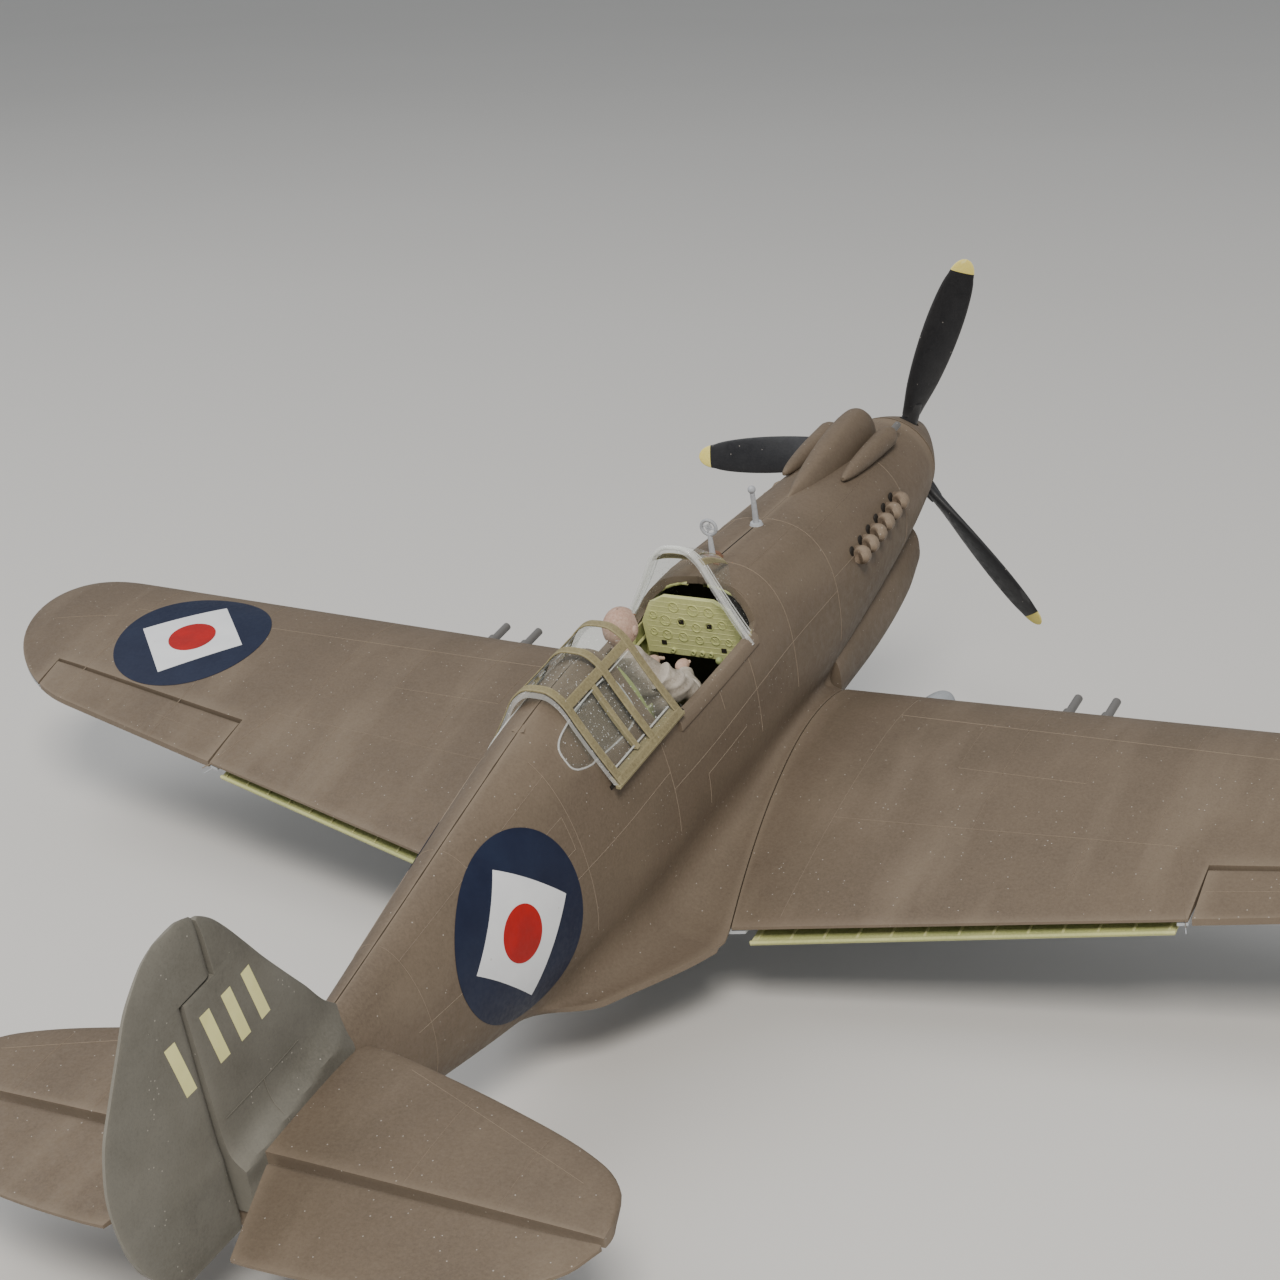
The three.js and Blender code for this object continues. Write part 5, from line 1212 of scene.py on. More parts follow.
BEAD = {"y": 2.73, "top": 0.84}
RING = {"x": 0.03, "y": 3.3, "z": 0.86, "radius": 0.05, "wire": 0.011}
y, top, foot = BEAD["y"], BEAD["top"], float(body_top(BEAD["y"]))
bead = Shape().tube([(0, y, foot - 0.02), (0, y - 0.004, 0.75), (0, y, top)], [0.021, 0.017, 0.015], 20)
bead.ball((0, y, top), (0.026, 0.026, 0.026))
bead.tube([(0, y, foot - 0.01), (0, y, foot + 0.02)], [0.048, 0.036], 24)
piece("bead_sight_post", bead, SIGHT, slot="sight_grey", replaces=["bead_sight"])

centre, foot = np.array((RING["x"], RING["y"], RING["z"])), float(body_top(RING["y"]))
around = [(RING["wire"] * math.cos(t), RING["wire"] * math.sin(t)) for t in np.arange(10) * 0.628]
ring = Shape().lathe([(RING["radius"] + out, aft) for out, aft in around], centre, (0, 1, 0), 40)
for turn in np.arange(2) * np.pi / 2 + 0.3:
    reach = np.array([math.cos(turn), 0, math.sin(turn)]) * RING["radius"]
    ring.tube([centre - reach, centre, centre + reach], 0.006, 8)
ring.lathe([(0.012, -0.005), (0.022, -0.005), (0.022, 0.005), (0.012, 0.005)], centre, (0, 1, 0), 20)
low = (RING["x"], RING["y"], foot - 0.02)
ring.tube([low, (RING["x"], RING["y"], RING["z"] - 0.05)], [0.022, 0.014], 16)
piece("ring_sight_ring", ring, SIGHT, slot="sight_grey", replaces=["ring_sight"])
base = Shape().tube([low, (RING["x"], RING["y"], foot + 0.024)], [0.075, 0.05], 28)
base.box((-0.06, 3.34, foot - 0.03), (-0.02, 3.4, foot + 0.02))
piece("ring_sight_base", base, RUST, slot="sight_grey", bevel=0.004)

# ---- propeller -----------------------------------------------------------------------------------

SPINNER = {"length": 0.6, "radius": 0.34}
blade_chord = smooth((0.3, 0.14), (0.6, 0.235), (1.0, 0.27), (1.35, 0.235), (1.55, 0.15), (1.63, 0.04))
blade_pitch = smooth((0.3, 0.95), (0.8, 0.62), (1.63, 0.36))
BLADE = {"root": 0.33, "yellow": 1.53, "round": 1.6, "tip": 1.63, "rest": -0.41, "sides": 32}


def spun(points, angle):
    """Turns points about the thrust line, as a propeller turns."""
    x, y, z = np.moveaxis(np.asarray(points, float), -1, 0)
    c, s = math.cos(angle), math.sin(angle)
    return points_of(x * c + z * s, y, z * c - x * s)


def blade_section(r):
    """Points round the blade at a radius, on a blade that stands straight up."""
    turn, pitch = turns(BLADE["sides"]), float(blade_pitch(r))
    taper = math.sqrt(max(0.002, 1 - max(0, (r - 1.45) / 0.1801) ** 2.4))
    along = float(blade_chord(min(r, 1.5))) * taper / 2 * np.cos(turn)
    half = mix(0.045, 0.012, r / BLADE["tip"]) * max(taper, 0.2)
    thick = half * np.sin(turn) * (1 - 0.25 * np.cos(turn))
    return points_of(-along * math.cos(pitch) + thick * math.sin(pitch),
                     PROP_Y - along * math.sin(pitch) - thick * math.cos(pitch), r)


def blade(angle):
    yellow, sides = BLADE["yellow"], BLADE["sides"]
    radii = np.concatenate([np.linspace(BLADE["root"], yellow, 34), np.linspace(yellow, BLADE["round"], 6)[1:],
                            BLADE["tip"] - 0.03 * np.linspace(1, 0.02, 7)[1:] ** 2])
    rings = spun([blade_section(r) for r in radii], angle)
    faces = grid_faces(len(rings), sides, True)
    black = int(np.argmax(radii >= yellow)) * sides
    ends = [tuple(range(sides)), tuple(range((len(rings) - 1) * sides, len(rings) * sides))]
    shape = Shape().add(rings, faces + ends)
    shape.paints = [0] * black + [1] * (len(faces) - black) + [0, 1]
    shank = Shape().tube([(0, PROP_Y, z) for z in (0.11, 0.3, 0.36, 0.44)], [0.062, 0.06, 0.055, 0.045], 28)
    return shape.join(shank, lambda points: spun(points, angle))


t = np.linspace(0, 1, 40)
cone = list(zip(np.maximum(SPINNER["radius"] * (1 - (1 - t) ** 1.1) ** 0.8, 0.001), t * SPINNER["length"]))
cone += [(SPINNER["radius"] - 0.02, SPINNER["length"]), (0.1, SPINNER["length"]), (0.001, 0.3)]
spinner = piece("spinner_shell", Shape().lathe(cone, (0, 0, 0), (0, 1, 0), 96), OLIVE, body="propeller",
                replaces=["spinner"])
for i in range(3):
    angle = BLADE["rest"] + i * 2 * np.pi / 3
    name = "propeller_blade_%d" % (i + 1)
    piece(name + "_shape", blade(angle), [BLACK, YELLOW], body="propeller", slot="blade_black", replaces=[name])
    hole = Shape().tube([(0, PROP_Y, 0.2), (0, PROP_Y, 0.6)], 0.074, 32)
    cut_away(spinner, Shape().join(hole, lambda points: spun(points, angle)))
disc = [(0.001, 0.606), (0.334, 0.606), (0.34, 0.612), (0.34, 0.666), (0.334, 0.672), (0.001, 0.672)]
plate = Shape().lathe(disc, (0, 0, 0), (0, 1, 0), 96).tube([(0, 0.65, 0), (0, 1.15, 0)], 0.055, 32)
piece("spinner_back_plate", plate, OLIVE, body="propeller", slot="gunmetal", replaces=["propeller_hub"])

# ---- canopy and windscreen -------------------------------------------------------------------------


WHOLE = np.linspace(-1, 1, 81)
CLEAR_LOOKS = {"finishes": [CLEAR, CLEAR_EDGE_GLINT], "slot": "clear_styrene"}


def shell(surface, shares, ys, outside, inside, paint=0):
    """The part of a bent sheet that lies between two distances off its surface."""
    a, y = np.asarray(shares)[None, :], np.asarray(ys)[:, None]
    return Shape().slab(surface(a, y, outside), surface(a, y, inside), paint=paint)


def strips(surface, *rows):
    """Raised frame strips: shares across and stations as (start, end, count), height and depth."""
    frames = Shape()
    for shares, ys, proud, sunk in rows:
        frames.join(shell(surface, np.linspace(*shares), np.linspace(*ys), proud, sunk))
    return frames


def clear_part(name, surface, span, count, **settings):
    # The sheet's cut edges take the milky finish: painted glints of the thick plastic's edges.
    sheet = shell(surface, WHOLE, np.linspace(span["front"], span["rear"], count), 0, -GLASS_WALL, (0, 0, 1))
    piece(name, sheet, **CLEAR_LOOKS, **settings)


clear_part("canopy_clear", canopy_arch, CANOPY, 24, body="canopy", replaces=["canopy_glass"])
front, middle, rear = (CANOPY[end] for end in ("front", "middle", "rear"))
frames = strips(canopy_arch, *(((-1, 1, 81), (y - 0.029, y + 0.029, 5), FRAME_PROUD, 0.002)
                               for y in (front + 0.034, middle, rear - 0.034)))
for side in SIDES.values():
    frames.join(strips(
        canopy_arch,
        ((side * 0.25, side * 0.33, 6), (front + 0.02, rear - 0.02, 24), 0.011, 0.002),
        ((side * 0.935, side, 5), (front + 0.01, rear - 0.01, 24), 0.016, -0.04),
        ((side * 0.32, side * 0.92, 14), (5.23, 5.27, 3), 0.003, -0.03)))
    edge = side * (CANOPY["half"] - 0.006)
    frames.box((edge - 0.014, front - 0.01, 0.452), (edge + 0.014, rear + 0.01, 0.474))
piece("canopy_frames", frames, FRAME_PAINT, body="canopy", slot="frame_yellow_green", replaces=["canopy_frame"],
      bevel=0.003)
# Milky bars along the panes are painted glints of the thick plastic's edges.
glints = Shape()
for side in SIDES.values():
    for low, high in ((front + 0.07, middle - 0.035), (middle + 0.035, rear - 0.07)):
        ys = np.linspace(low, high, 10)
        for share, sunk, radius in ((0.885, 0.006, 0.006), (0.345, 0.008, 0.004)):
            glints.tube(canopy_arch(np.full(10, side * share), ys, -sunk), radius, 8)
piece("canopy_pane_glints", glints, CLEAR_EDGE_GLINT, body="canopy", slot="clear_styrene")

clear_part("windscreen_clear", screen_arch, SCREEN, 20, replaces=["windscreen_glass"])
# Milky bars along the screen's rear bow are painted glints of its thick clear edge.
lip = Shape()
for back, out, radius, sides in ((0.006, 0.002, 0.015, 10), (0.05, 0.004, 0.008, 8), (0.09, 0.001, 0.004, 8)):
    lip.tube(screen_arch(WHOLE, SCREEN["rear"] - back, out), radius, sides)
piece("windscreen_lip_glints", lip, CLEAR_EDGE_GLINT, slot="clear_styrene")
frames = Shape()
for side in SIDES.values():
    frames.join(strips(screen_arch, ((side * 0.24, side * 0.3, 5), (3.39, 3.8, 16), 0.008, 0.002),
                       ((side * 0.93, side, 5), (3.42, 3.8, 12), 0.01, 0.002)))
frames.join(strips(screen_arch, ((-0.3, 0.3, 21), (3.38, 3.4, 3), 0.006, 0.002)))
piece("windscreen_frames", frames, FRAME_PAINT, slot="frame_yellow_green", replaces=["windscreen_frame"],
      bevel=0.003)

for name, side in SIDES.items():
    window = name + "_rear_window"
    rings = []
    for out, shrink in ((-0.026, 0.008), (-0.002, 0.008), (0.003, 0.016)):
        y, z = window_outline(shrink, 64)
        rings.append(points_of(side * (deck_side(y, z) + out), y, z))
    piece(window + "_pane", Shape().loft(rings), CLEAR, slot="clear_styrene", replaces=[window])
    # A milky bar round each rear window paints in the bright outline of its thick edge.
    y, z = (np.append(line, line[:1]) for line in window_outline(0.004, 64))
    rim = Shape().tube(points_of(side * (deck_side(y, z) + 0.001), y, z), 0.006, 8)
    piece(window + "_rim_glint", rim, CLEAR_EDGE_GLINT, slot="clear_styrene")
    y, z = np.linspace(5.0, 5.8, 20)[:, None], np.linspace(0.52, 0.9, 12)[None, :]
    back = points_of(side * (deck_side(y, z) - 0.03), y, z)
    piece(window + "_recess", Shape().slab(back, back - (side * 0.01, 0, 0)), OLIVE)

# ---- cockpit -------------------------------------------------------------------------------------

WELL = {"front": 3.6, "rear": 4.93, "floor": -0.26}


def side_wall(side):
    """Green liner of one cockpit side, with stringers, frames and boxes."""
    ys = np.linspace(3.5, WELL["rear"], 30)[:, None]
    z = np.linspace(WELL["floor"], 0.37, 14)[None, :]
    outer = points_of(side * (body_side(ys, z) - 0.052), ys, z)
    shape = Shape().slab(outer, outer - (side * 0.012, 0, 0))
    for y in np.arange(3.62, 4.9, 0.2):
        levels = np.linspace(WELL["floor"], 0.36, 12)
        shape.tube(points_of(side * (body_side(y, levels) - 0.07), y, levels), 0.014, 8)
    for z in (-0.08, 0.1, 0.25):
        run = np.linspace(3.58, 4.88, 16)
        shape.tube(points_of(side * (body_side(run, z) - 0.078), run, z), 0.011, 8)
    for y, z, deep, high in ((3.9, 0.16, 0.16, 0.12), (4.2, 0.02, 0.22, 0.1), (4.5, 0.2, 0.12, 0.08)):
        x = float(body_side(y, z)) - 0.13
        low, high = (side * x, y, z), (side * (x + 0.06), y + deep, z + high)
        shape.box(low, high)
    shape.tube([(side * 0.32, 3.95, 0.24), (side * 0.3, 3.99, 0.33)], 0.012, 10)
    shape.ball((side * 0.298, 3.993, 0.345), (0.024, 0.024, 0.024))
    return shape


def front_frame():
    """A ragged bar just inside the coaming's edge."""
    shape = Shape()
    angle = np.linspace(-1.25, 1.25, 61)
    x, z = section(3.585, np.abs(angle), -0.05)
    rough = 0.004 * np.sin(angle * 31) * np.sin(angle * 13)
    shape.tube(points_of(np.sign(angle) * x, 3.59 + rough, z), 0.012, 8)
    return shape


boards = Shape().box((-0.4, WELL["front"], -0.282), (0.4, WELL["rear"], WELL["floor"]))
boards.box((-0.2, 3.62, -0.262), (-0.08, 4.3, -0.25)).box((0.08, 3.62, -0.262), (0.2, 4.3, -0.25))
piece("cockpit_floor_boards", boards, COCKPIT_PAINT, slot="cockpit_green", replaces=["cockpit_floor"],
      bevel=0.004)
# The left liner takes the lighter green and the right the darker: one cockpit colour in a lit and a shaded copy,
# painted in.
for name, finish in (("left", PANEL_PAINT), ("right", COCKPIT_PAINT)):
    piece(name + "_cockpit_side", side_wall(SIDES[name]), finish, slot="cockpit_green")
piece("coaming_frame", front_frame(), PANEL_PAINT, slot="cockpit_green")
# The front bulkhead is a black sheet that paints in the shade of the void under the instrument board; the rear
# one is the cockpit's own green.
for name, finish, y0, y1, top in (("rear", COCKPIT_PAINT, 4.9, 4.935, 0.86), ("front", SHADE_AND_JOINT_BLACK, 3.4, 3.43, 0.64)):
    angle = np.linspace(-2.0, 2.0, 41)
    x, z = section(y0, np.abs(angle), -0.056)
    outline = points_of(np.sign(angle) * x, 0, np.minimum(z, top))
    bulkhead = Shape().loft([outline + (0, y0, 0), outline + (0, y1, 0)])
    piece(name + "_cockpit_bulkhead", bulkhead, finish, slot="cockpit_green")

# Across, up and radius of each dial on the board.
DIALS = ((-0.13, 0.43, 0.03), (0.06, 0.44, 0.032), (-0.03, 0.53, 0.04), (0.1, 0.54, 0.036), (-0.14, 0.53, 0.034),
         (0.17, 0.44, 0.038), (-0.04, 0.41, 0.032), (-0.22, 0.45, 0.03), (0.25, 0.47, 0.028),
         (0.17, 0.34, 0.034), (0.06, 0.335, 0.034), (-0.05, 0.325, 0.03), (-0.16, 0.335, 0.034),
         (-0.25, 0.33, 0.026), (0.26, 0.35, 0.026))
right = [(-0.17, 0.605), (-0.27, 0.55), (-0.335, 0.42), (-0.32, 0.2)]
x, z = np.array(right + [(-x, z) for x, z in reversed(right)]).T
panel = Shape().loft([points_of(x, y, z) for y in (3.722, 3.758)])
for x, z, radius in DIALS:
    profile = [(radius - 0.006, 0), (radius, 0), (radius, 0.009), (radius - 0.006, 0.009)]
    panel.lathe(profile, (x, 3.754, z), (0, 1, 0), 22)
    panel.tube([(x, 3.761, z), (x + 0.5 * radius, 3.761, z + 0.5 * radius)], 0.0025, 6)
for x in (-0.12, -0.06, 0.0, 0.14):
    panel.lathe([(0.008, 0), (0.016, 0), (0.016, 0.022), (0.008, 0.022)], (x, 3.756, 0.235), (0, 1, 0), 16)
for z in np.arange(0.24, 0.6, 0.036):
    half = 0.3 - 0.35 * max(0, z - 0.45)
    panel.tube([(-half, 3.758, z), (half, 3.758, z + 0.004)], 0.0022, 6)
# Dark boxes on the board paint in the shade of its square holes.
hole_shades = Shape()
for x, z in ((0.06, 0.44), (-0.13, 0.43), (0.2, 0.28), (-0.21, 0.27)):
    hole_shades.box((x - 0.017, 3.756, z - 0.014), (x + 0.017, 3.763, z + 0.014))
piece("instrument_board", panel, PANEL_PAINT, slot="frame_yellow_green", replaces=["instrument_panel"],
      bevel=0.0025)
piece("instrument_hole_shades", hole_shades, SHADE_AND_JOINT_BLACK, slot="gunmetal")
pedals = Shape()
for x in (0.13, -0.13):
    pedals.tube([(x, 3.75, -0.18), (x, 3.7, 0.02)], 0.014, 10)
    pedals.box((x - 0.05, 3.72, -0.2), (x + 0.05, 3.75, -0.1))
piece("rudder_pedals", pedals, GUNMETAL, slot="gunmetal", bevel=0.004)

z, turn = np.linspace(-0.24, 0.5, 16)[:, None], np.linspace(-np.pi / 2, np.pi / 2, 25)[None, :]
half, deep, back = 0.24 + 0.03 * (z + 0.2), 0.42 - 0.34 * ease(z, 0, 0.3), 4.84 + 0.03 * z
bucket = points_of(half * np.sin(turn), back - deep * (1 - np.cos(turn) ** 0.5), z)
seat = Shape().slab(bucket, bucket * (0.93, 1, 1) - (0, 0.022, 0))
seat.box((-0.22, 4.42, -0.16), (0.22, 4.82, -0.12))
seat.box((-0.2, 4.44, -0.12), (0.2, 4.8, -0.07))
for x in (-0.15, 0.15):
    seat.tubes(([(x, 4.5, -0.26), (x, 4.5, -0.14)], 0.02, 10), ([(x, 4.78, -0.26), (x, 4.78, -0.14)], 0.02, 10))
piece("seat_bucket", seat, SEAT, slot="seat_green", replaces=["pilot_seat"], bevel=0.005)
stick = Shape().tubes(([(0, 4.04, -0.26), (0, 4.05, 0.0), (0, 4.08, 0.11)], [0.018, 0.014, 0.013], 14),
                      ([(0, 4.076, 0.09), (0, 4.085, 0.13), (0.0, 4.075, 0.17)], [0.024, 0.03, 0.022], 16),
                      ([(0, 4.04, -0.262), (0, 4.04, -0.2)], [0.055, 0.026], 20))
piece("control_column", stick, BLACK, slot="blade_black", replaces=["control_stick"])

# ---- pilot ---------------------------------------------------------------------------------------


def rumpled(rings, depth, seed):
    """Pushes the rings of a limb in and out, as cloth folds."""
    rings = np.asarray(rings, float)
    centre = rings.mean(1, keepdims=True)
    out = rings - centre
    size = np.linalg.norm(out, axis=-1, keepdims=True)
    turn, row = turns(rings.shape[1])[None, :], np.linspace(0, 1, rings.shape[0])[:, None]
    fold = np.sin(row * 23 + 2.2 * np.sin(turn + seed) + seed)
    fold += 0.6 * np.sin(row * 41 + 3 * np.cos(turn * 2 + seed))
    ends = np.sin(np.pi * np.clip(row * 1.02, 0, 1)) ** 0.4
    return centre + out * (1 + (depth * fold * ends)[..., None] / np.maximum(size, 0.01))


def limb(shape, side, bones, radii, seed, depth):
    """An arm or a leg through its joints, given for the left side."""
    bones, steps, sides = np.array(bones, float) * (side, 1, 1), 34, 28
    share, joints = np.linspace(0, len(bones) - 1, steps), range(len(bones))
    course = np.stack([np.interp(share, joints, bones[:, k]) for k in range(3)], 1)
    course[1:-1] = (course[:-2] + 2 * course[1:-1] + course[2:]) / 4
    width = np.interp(share, joints, radii)
    width[[0, -1]] *= 0.55
    rings = Shape().tube(course, width, sides).points[0].reshape(steps, sides, 3)
    return shape.loft(rumpled(rings, depth, seed))


# Level, half width and half depth of the trunk, from the hips up to the collar.
TRUNK = ((-0.12, 0.15, 0.11), (-0.02, 0.2, 0.145), (0.15, 0.19, 0.135), (0.32, 0.225, 0.145), (0.46, 0.24, 0.14),
         (0.56, 0.2, 0.12), (0.63, 0.12, 0.09), (0.68, 0.085, 0.08))
ARM = ((0.19, 4.55, 0.56), (0.27, 4.48, 0.44), (0.265, 4.33, 0.3), (0.13, 4.15, 0.34))
LEG = ((0.1, 4.58, -0.02), (0.14, 4.34, 0.04), (0.15, 4.17, 0.05), (0.15, 4.12, -0.18))
levels, widths, depths = np.array(TRUNK).T
z, turn = np.linspace(levels[0], levels[-1], 44)[:, None], turns(48)
wide, deep = np.interp(z, levels, widths), np.interp(z, levels, depths)
trunk = points_of(wide * np.sin(turn), 4.52 - (0.6 - z) * 0.12 + deep * np.cos(turn), z)
suit, hands = Shape().loft(rumpled(trunk, 0.008, 1.3)), Shape()
for side in SIDES.values():
    limb(suit, side, ARM, [0.085, 0.085, 0.07, 0.052], side + 2, 0.011)
    limb(suit, side, LEG, [0.095, 0.09, 0.08, 0.055], side + 5, 0.009)
    hands.ball((side * 0.1, 4.1, 0.35), (0.042, 0.055, 0.036))
    for out in np.arange(4) * 0.018:
        hands.tube([(side * (0.075 + out), 4.07, 0.36), (side * (0.06 + out), 4.035, 0.34)], 0.011, 8)
piece("pilot_suit", suit, SUIT, slot="flying_suit", replaces=["pilot_body"], sharp=60)
piece("pilot_hands", hands, SKIN, slot="skin")
straps = Shape()
for side in SIDES.values():
    run = np.linspace(0, 1, 14)
    course = points_of(side * mix(0.12, 0.07, run), 4.56 - 0.155 * np.sin(run * 2.6), mix(0.6, 0.1, run))
    straps.tube(course, 0.019, 8, flatten=0.35)
straps.tube([(-0.2, 4.4, 0.1), (0, 4.35, 0.08), (0.2, 4.4, 0.1)], 0.019, 8, flatten=0.35)
piece("pilot_harness", straps, SEAT, slot="seat_green")

HEAD = np.array((0.06, 4.47, 0.802))
SKULL = np.array((0.097, 0.113, 0.116))
# Features of the face, for a head of radius 1: height, how far out from the middle, half width, level and
# half height. They are the nose, the eye sockets, the lips and the chin.
FEATURES = ((0.028, 0, 0.16, -0.12, 0.22), (-0.012, 0.36, 0.16, 0.08, 0.13), (0.008, 0, 0.32, -0.5, 0.07),
            (0.012, 0, 0.3, -0.85, 0.14))
down, around = np.linspace(0, np.pi, 30)[:, None], turns(40)[None, :]
unit = points_of(np.sin(down) * np.sin(around), -np.sin(down) * np.cos(around), np.cos(down))
x, y, z = np.moveaxis(unit, -1, 0)
skull = unit * SKULL
skull[..., 0] *= 1 - 0.14 * np.clip(-z, 0, 1)
for height, out, half, level, rise in FEATURES:
    spread = ((np.abs(x) - out) / half) ** 2 + ((z - level) / rise) ** 2
    skull[..., 1] -= height * np.exp(-spread) * (y < 0)
head = Shape().loft(HEAD + skull, caps=False)
for side in SIDES.values():
    head.ball(HEAD + (side * 0.1, 0.01, -0.005), (0.016, 0.026, 0.034))
head.tube([HEAD + (0, 0.02, -0.19), HEAD + (0, 0.01, -0.08)], [0.066, 0.06], 20)
piece("pilot_face", head, SKIN, slot="skin", replaces=["pilot_head"], sharp=60)
around = np.append(np.arange(40), 0)
x, y, z = np.moveaxis(unit[:, around], -1, 0)
shown = (y > -0.42) | (z > 0.62)
cells = shown[:-1, :-1] & shown[1:, :-1] & shown[:-1, 1:] & shown[1:, 1:] & (down[:-1] < 2.35)
seams = 1.06 + 0.012 * np.abs(np.sin(np.arctan2(x, z + 1.2) * 6))
scalp = unit[:, around] * SKULL
cap = Shape().slab(HEAD + scalp * seams[..., None], HEAD + scalp * 0.99, cells)
piece("pilot_cap", cap, SKIN, slot="skin", sharp=60)
eyes = Shape()
for side in SIDES.values():
    eyes.ball(HEAD + (side * 0.037, -0.104, 0.012), (0.013, 0.007, 0.006))
    eyes.tube([HEAD + (side * 0.02, -0.11, 0.036), HEAD + (side * 0.055, -0.1, 0.034)], 0.004, 6)
eyes.tube([HEAD + (-0.026, -0.113, -0.062), HEAD + (0, -0.119, -0.064), HEAD + (0.026, -0.113, -0.062)], 0.003, 6)
piece("pilot_features", eyes, RUST, slot="skin")

# ---- sills and seams -------------------------------------------------------------------------------

# Section of a sill rail: distance out from the wall and level.
RAIL = np.array(((-0.06, 0.415), (-0.008, 0.418), (0.012, 0.395), (0.016, 0.345), (-0.01, 0.33), (-0.06, 0.36)))
for name, side in SIDES.items():
    ys = np.linspace(3.74, 4.78, 24)[:, None]
    rail = points_of(side * (body_side(ys, 0.37) + 0.004 + RAIL[:, 0]), ys, RAIL[:, 1])
    piece(name + "_sill_rail", Shape().loft(rail), OLIVE, bevel=0.004)
    ys = np.linspace(4.7, 5.56, 24)
    track = points_of(side * (body_side(ys, 0.44) + 0.004), ys, 0.438)
    piece(name + "_canopy_track", Shape().tube(track, 0.011, 8), SHADE_AND_JOINT_BLACK, slot="gunmetal")
y = 3.35
level = float(section(y, 0.2)[1])
opening = Shape().box((-0.125, y - 0.02, level - 0.02), (-0.055, y + 0.025, level + 0.004))
piece("cowl_slot", opening, RUST, slot="sight_grey", bevel=0.003)
ys = np.linspace(2.78, 3.3, 12)
piece("cowl_seam", Shape().tube(points_of(0.0, ys, body_top(ys) - 0.001), 0.0045, 6), SHADE_AND_JOINT_BLACK)

# ---- undercarriage -------------------------------------------------------------------------------

GEAR = {"x": 1.25, "y": 2.76, "axle": -1.56, "tyre": 0.381, "half": 0.105, "rim": 0.2}
TAILWHEEL = {"y": 8.02, "axle": -0.49, "tyre": 0.19, "half": 0.06, "rim": 0.09}
# Where a leg leaves the wing, where its sliding part leaves the cylinder, and its door.
LEG_ROOT, LEG_END = 2.95, (2.865, -1.17)
DOOR = np.array(((2.7, -0.96), (3.12, -0.94), (3.11, -1.28), (3.0, -1.38), (2.84, -1.45), (2.7, -1.42),
                 (2.67, -1.3)))


def tyre(wheel, x, blocks):
    centre = np.array((x, wheel["y"], wheel["axle"]))
    outer, inner, half = wheel["tyre"], wheel["rim"], wheel["half"]
    turn = np.linspace(-np.pi / 2, np.pi / 2, 25)
    crown = [(mix(inner, outer, math.cos(t) ** 0.7), half * math.sin(t)) for t in turn]
    crown = [(r + (0.004 if abs(s) < half * 0.55 and i % 3 else 0), s) for i, (r, s) in enumerate(crown)]
    profile = [(inner, -half * 0.7)] + crown[1:-1] + [(inner, half * 0.7), (inner - 0.006, 0)]
    shape = Shape().lathe(profile, centre, (1, 0, 0), 96)
    for r, s in ((mix(inner, outer, 0.55), half * 0.9), (mix(inner, outer, 0.22), half * 0.78)):
        for side in SIDES.values():
            bead = [(r, side * s), (r + 0.006, side * (s + 0.005)), (r + 0.012, side * s)]
            shape.lathe(bead, centre, (1, 0, 0), 72)
    for turn in turns(blocks):
        y, z = math.sin(turn), math.cos(turn)
        for side in SIDES.values():
            shape.tube([centre + (side * half * out, (outer - sunk) * y, (outer - sunk) * z)
                        for out, sunk in ((0.62, 0.014), (0.8, 0.034))], 0.008, 6)
    return shape


def hub(wheel, x, rim, half, bumps):
    """A wheel disc, dished on both faces, with a ring of bumps."""
    centre = np.array((x, wheel["y"], wheel["axle"]))
    profile = [(0.03, -half), (rim * 0.3, -half * 1.05), (rim * 0.36, -half * 0.6), (rim * 0.8, -half * 0.5),
               (rim * 0.86, -half), (rim, -half)]
    profile += [(radius, -along) for radius, along in reversed(profile)]
    shape = Shape().lathe(profile, centre, (1, 0, 0), 64)
    for turn in turns(bumps):
        for side in SIDES.values():
            place = centre + (side * half * 0.62, rim * 0.58 * math.sin(turn), rim * 0.58 * math.cos(turn))
            shape.ball(place, (half * 0.2, rim * 0.07, rim * 0.07), rows=7, cols=10)
    return shape


def leg(x, side):
    """A shock leg: cylinder, collar, sliding part, axle, scissor links and brake line."""
    y, axle = GEAR["y"], GEAR["axle"]
    end, top = (x, *LEG_END), float(wing_heights(x, LEG_ROOT)[1])
    shape = Shape().tubes(
        ([(x, LEG_ROOT, top + 0.02), end], 0.074, 28),
        ([end, (x, 2.86, -1.2)], [0.082, 0.082], 28),
        ([(x, 2.862, -1.18), (x, y, axle)], 0.046, 24),
        ([(x, y, axle - 0.055), (x, y, axle + 0.06)], 0.062, 20),
        ([(x - side * 0.03, y, axle), (side * (GEAR["x"] + 0.085), y, axle)], 0.026, 20))
    for out in (-0.035, 0.035):
        shape.tube([(x + out, 2.89, -1.22), (x + out * 0.4, 3.0, -1.36), (x + out, 2.81, -1.5)], 0.014, 8)
    line = [(x + side * 0.05, 2.9, -0.9), (x + side * 0.06, 2.86, -1.25), (x + side * 0.05, 2.79, -1.5)]
    return shape.tubes(([(x - 0.045, 2.9, -1.22), (x + 0.045, 2.9, -1.22)], 0.02, 12), (line, 0.009, 8))


def knuckle(x):
    """The long fairing under the wing that a leg folds into."""
    share = (0.5 - 0.5 * np.cos(np.linspace(0.03, np.pi - 0.03, 30)))[:, None]
    radius, turn = 0.4 * np.sqrt(share * (1 - share)) * mix(1.1, 0.8, share), turns(40)
    return Shape().loft(points_of(x + radius * 0.75 * np.sin(turn), mix(2.38, 3.68, share),
                                  -0.76 + radius * 0.92 * np.cos(turn)))


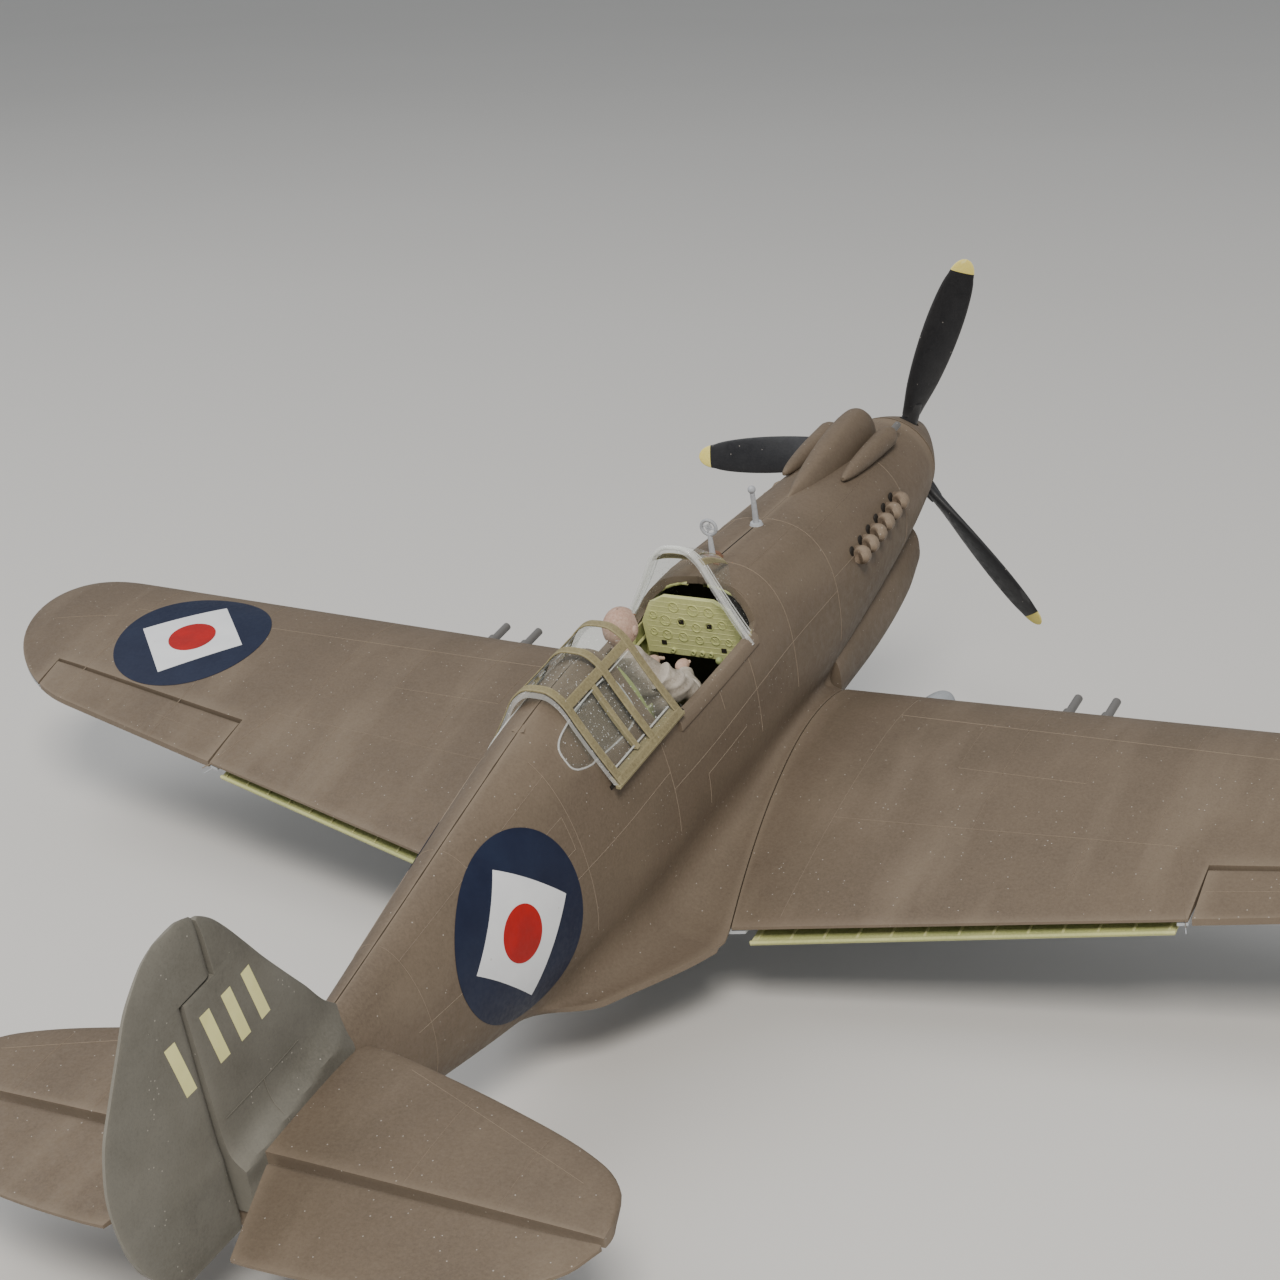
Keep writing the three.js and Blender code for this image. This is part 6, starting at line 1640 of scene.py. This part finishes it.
def leg_door(x, side, leg_x):
    """A thin bowed door with three ribs and the two rods to its leg."""
    shape = Shape().loft([points_of(x + side * out, DOOR[:, 0], DOOR[:, 1]) for out in (-0.012, 0.008)])
    for y in (2.76, 2.9, 3.04):
        shape.tube([(x + side * 0.012, y, -1.0), (x + side * 0.012, y, -1.36)], 0.008, 8)
    return shape.tubes(([(x, 2.88, -1.08), (leg_x, 2.88, -1.1)], 0.018, 10),
                       ([(x, 2.86, -1.2), (leg_x, 2.86, -1.2)], 0.018, 10))


def belly_piece(name, shape, **settings):
    piece(name, shape, BELLY, slot="belly_grey_paint", **settings)


def wheel_pieces(wheel, x, name, body, blocks, disc):
    piece(name + "_tyre_tread", tyre(wheel, x, blocks), TYRE, body=body, slot="tyre_black",
          replaces=[name + "_tyre"])
    piece(name + "_wheel_disc", hub(wheel, x, *disc), ALUMINIUM, body=body, slot="bare_metal",
          replaces=[name + "_wheel_hub"])


for name, side in SIDES.items():
    wheel_pieces(GEAR, side * GEAR["x"], name, name + "_wheel", 44, (GEAR["rim"] - 0.006, 0.075, 8))
    x, door_x = side * (GEAR["x"] - 0.19), side * (GEAR["x"] - 0.33)
    piece(name + "_leg_strut", leg(x, side), ALUMINIUM, slot="bare_metal", replaces=[name + "_gear_leg"])
    belly_piece(name + "_knuckle_fairing", knuckle(x), replaces=[name + "_gear_fairing"])
    belly_piece(name + "_door_plate", leg_door(door_x, side, x), replaces=[name + "_gear_door"], bevel=0.004)

wheel_pieces(TAILWHEEL, 0, "tail", "tail_wheel", 24, (0.086, 0.046, 5))
y, z = TAILWHEEL["y"], TAILWHEEL["axle"]
fork = Shape().tubes(([(0, 7.84, -0.12), (0, 7.92, -0.27)], 0.04, 24),
                     ([(-0.092, 7.93, -0.27), (0.092, 7.93, -0.27)], 0.026, 16))
for side in SIDES.values():
    arm = [(side * 0.09, 7.93, -0.27), (side * 0.094, 7.97, -0.38), (side * 0.092, y, z)]
    fork.tubes((arm, [0.024, 0.02, 0.02], 14), ([(side * 0.07, y, z), (side * 0.11, y, z)], 0.026, 14))
fork.tube([(-0.1, y, z), (0.1, y, z)], 0.014, 12)
piece("tail_fork", fork, ALUMINIUM, slot="bare_metal", replaces=["tail_wheel_strut"])

# The hidden shaft bearing keeps its own shape.
bearing = frame["nodes"]["propeller_bearing"]
bearing.data.materials.clear()
bearing.data.materials.append(ALUMINIUM)

# ---- camera, light and floor ----------------------------------------------------------------------

REACH = 3.0
floor_mesh = bpy.data.meshes.new("floor")
floor_mesh.from_pydata([(x * REACH, y * REACH, 0) for x, y in ((-1, -1), (1, -1), (1, 1), (-1, 1))], [],
                       [(0, 1, 2, 3)])
floor = linked("floor", floor_mesh)
pale = Finish("pale floor", 0.85)
pale.set("Base Color", pale.blend(pale.noise(3, 2), (0.62, 0.6, 0.57), (0.66, 0.64, 0.61)))
floor_mesh.materials.append(pale.material)

world = bpy.data.worlds.new("studio")
bpy.context.scene.world = world
world.use_nodes = True
sky = world.node_tree.nodes["Background"].inputs
sky["Color"].default_value = (0.92, 0.96, 1.0, 1)
sky["Strength"].default_value = 0.42


def aimed(eye, target):
    """The turn of a lamp or camera that looks from one point at another."""
    return (Vector(target) - Vector(eye)).to_track_quat("-Z", "Y")


def area_light(name, place, size, power, colour):
    """A square lamp that shines on the middle of the model."""
    data = bpy.data.lights.new(name, "AREA")
    data.size, data.energy, data.color = size, power, colour
    lamp = linked(name, data)
    lamp.location = place
    lamp.rotation_euler = aimed(place, (cad_box[0] + cad_box[1]) / 2).to_euler()


area_light("key", (-0.4, 0.7, 0.75), 0.3, 11.5, (1, 0.96, 0.9))
area_light("fill", (0.6, 0.2, 0.8), 0.8, 5, (0.95, 0.97, 1))

# The camera looks over the right shoulder of the tail, placed in the level aircraft's metres.
EYE, TARGET, ROLL = (-7.046, 15.972, 8.132), (0.6, 3.385, 0.032), math.radians(-2.0)
lens = bpy.data.cameras.new("camera")
lens.sensor_width, lens.lens, lens.clip_start = 36, 73.76, 0.01
camera = linked("camera", lens)
camera.location = placed(EYE)
camera.rotation_mode = "QUATERNION"
camera.rotation_quaternion = aimed(placed(EYE), placed(TARGET)) @ Matrix.Rotation(ROLL, 3, "Z").to_quaternion()
bpy.context.scene.camera = camera
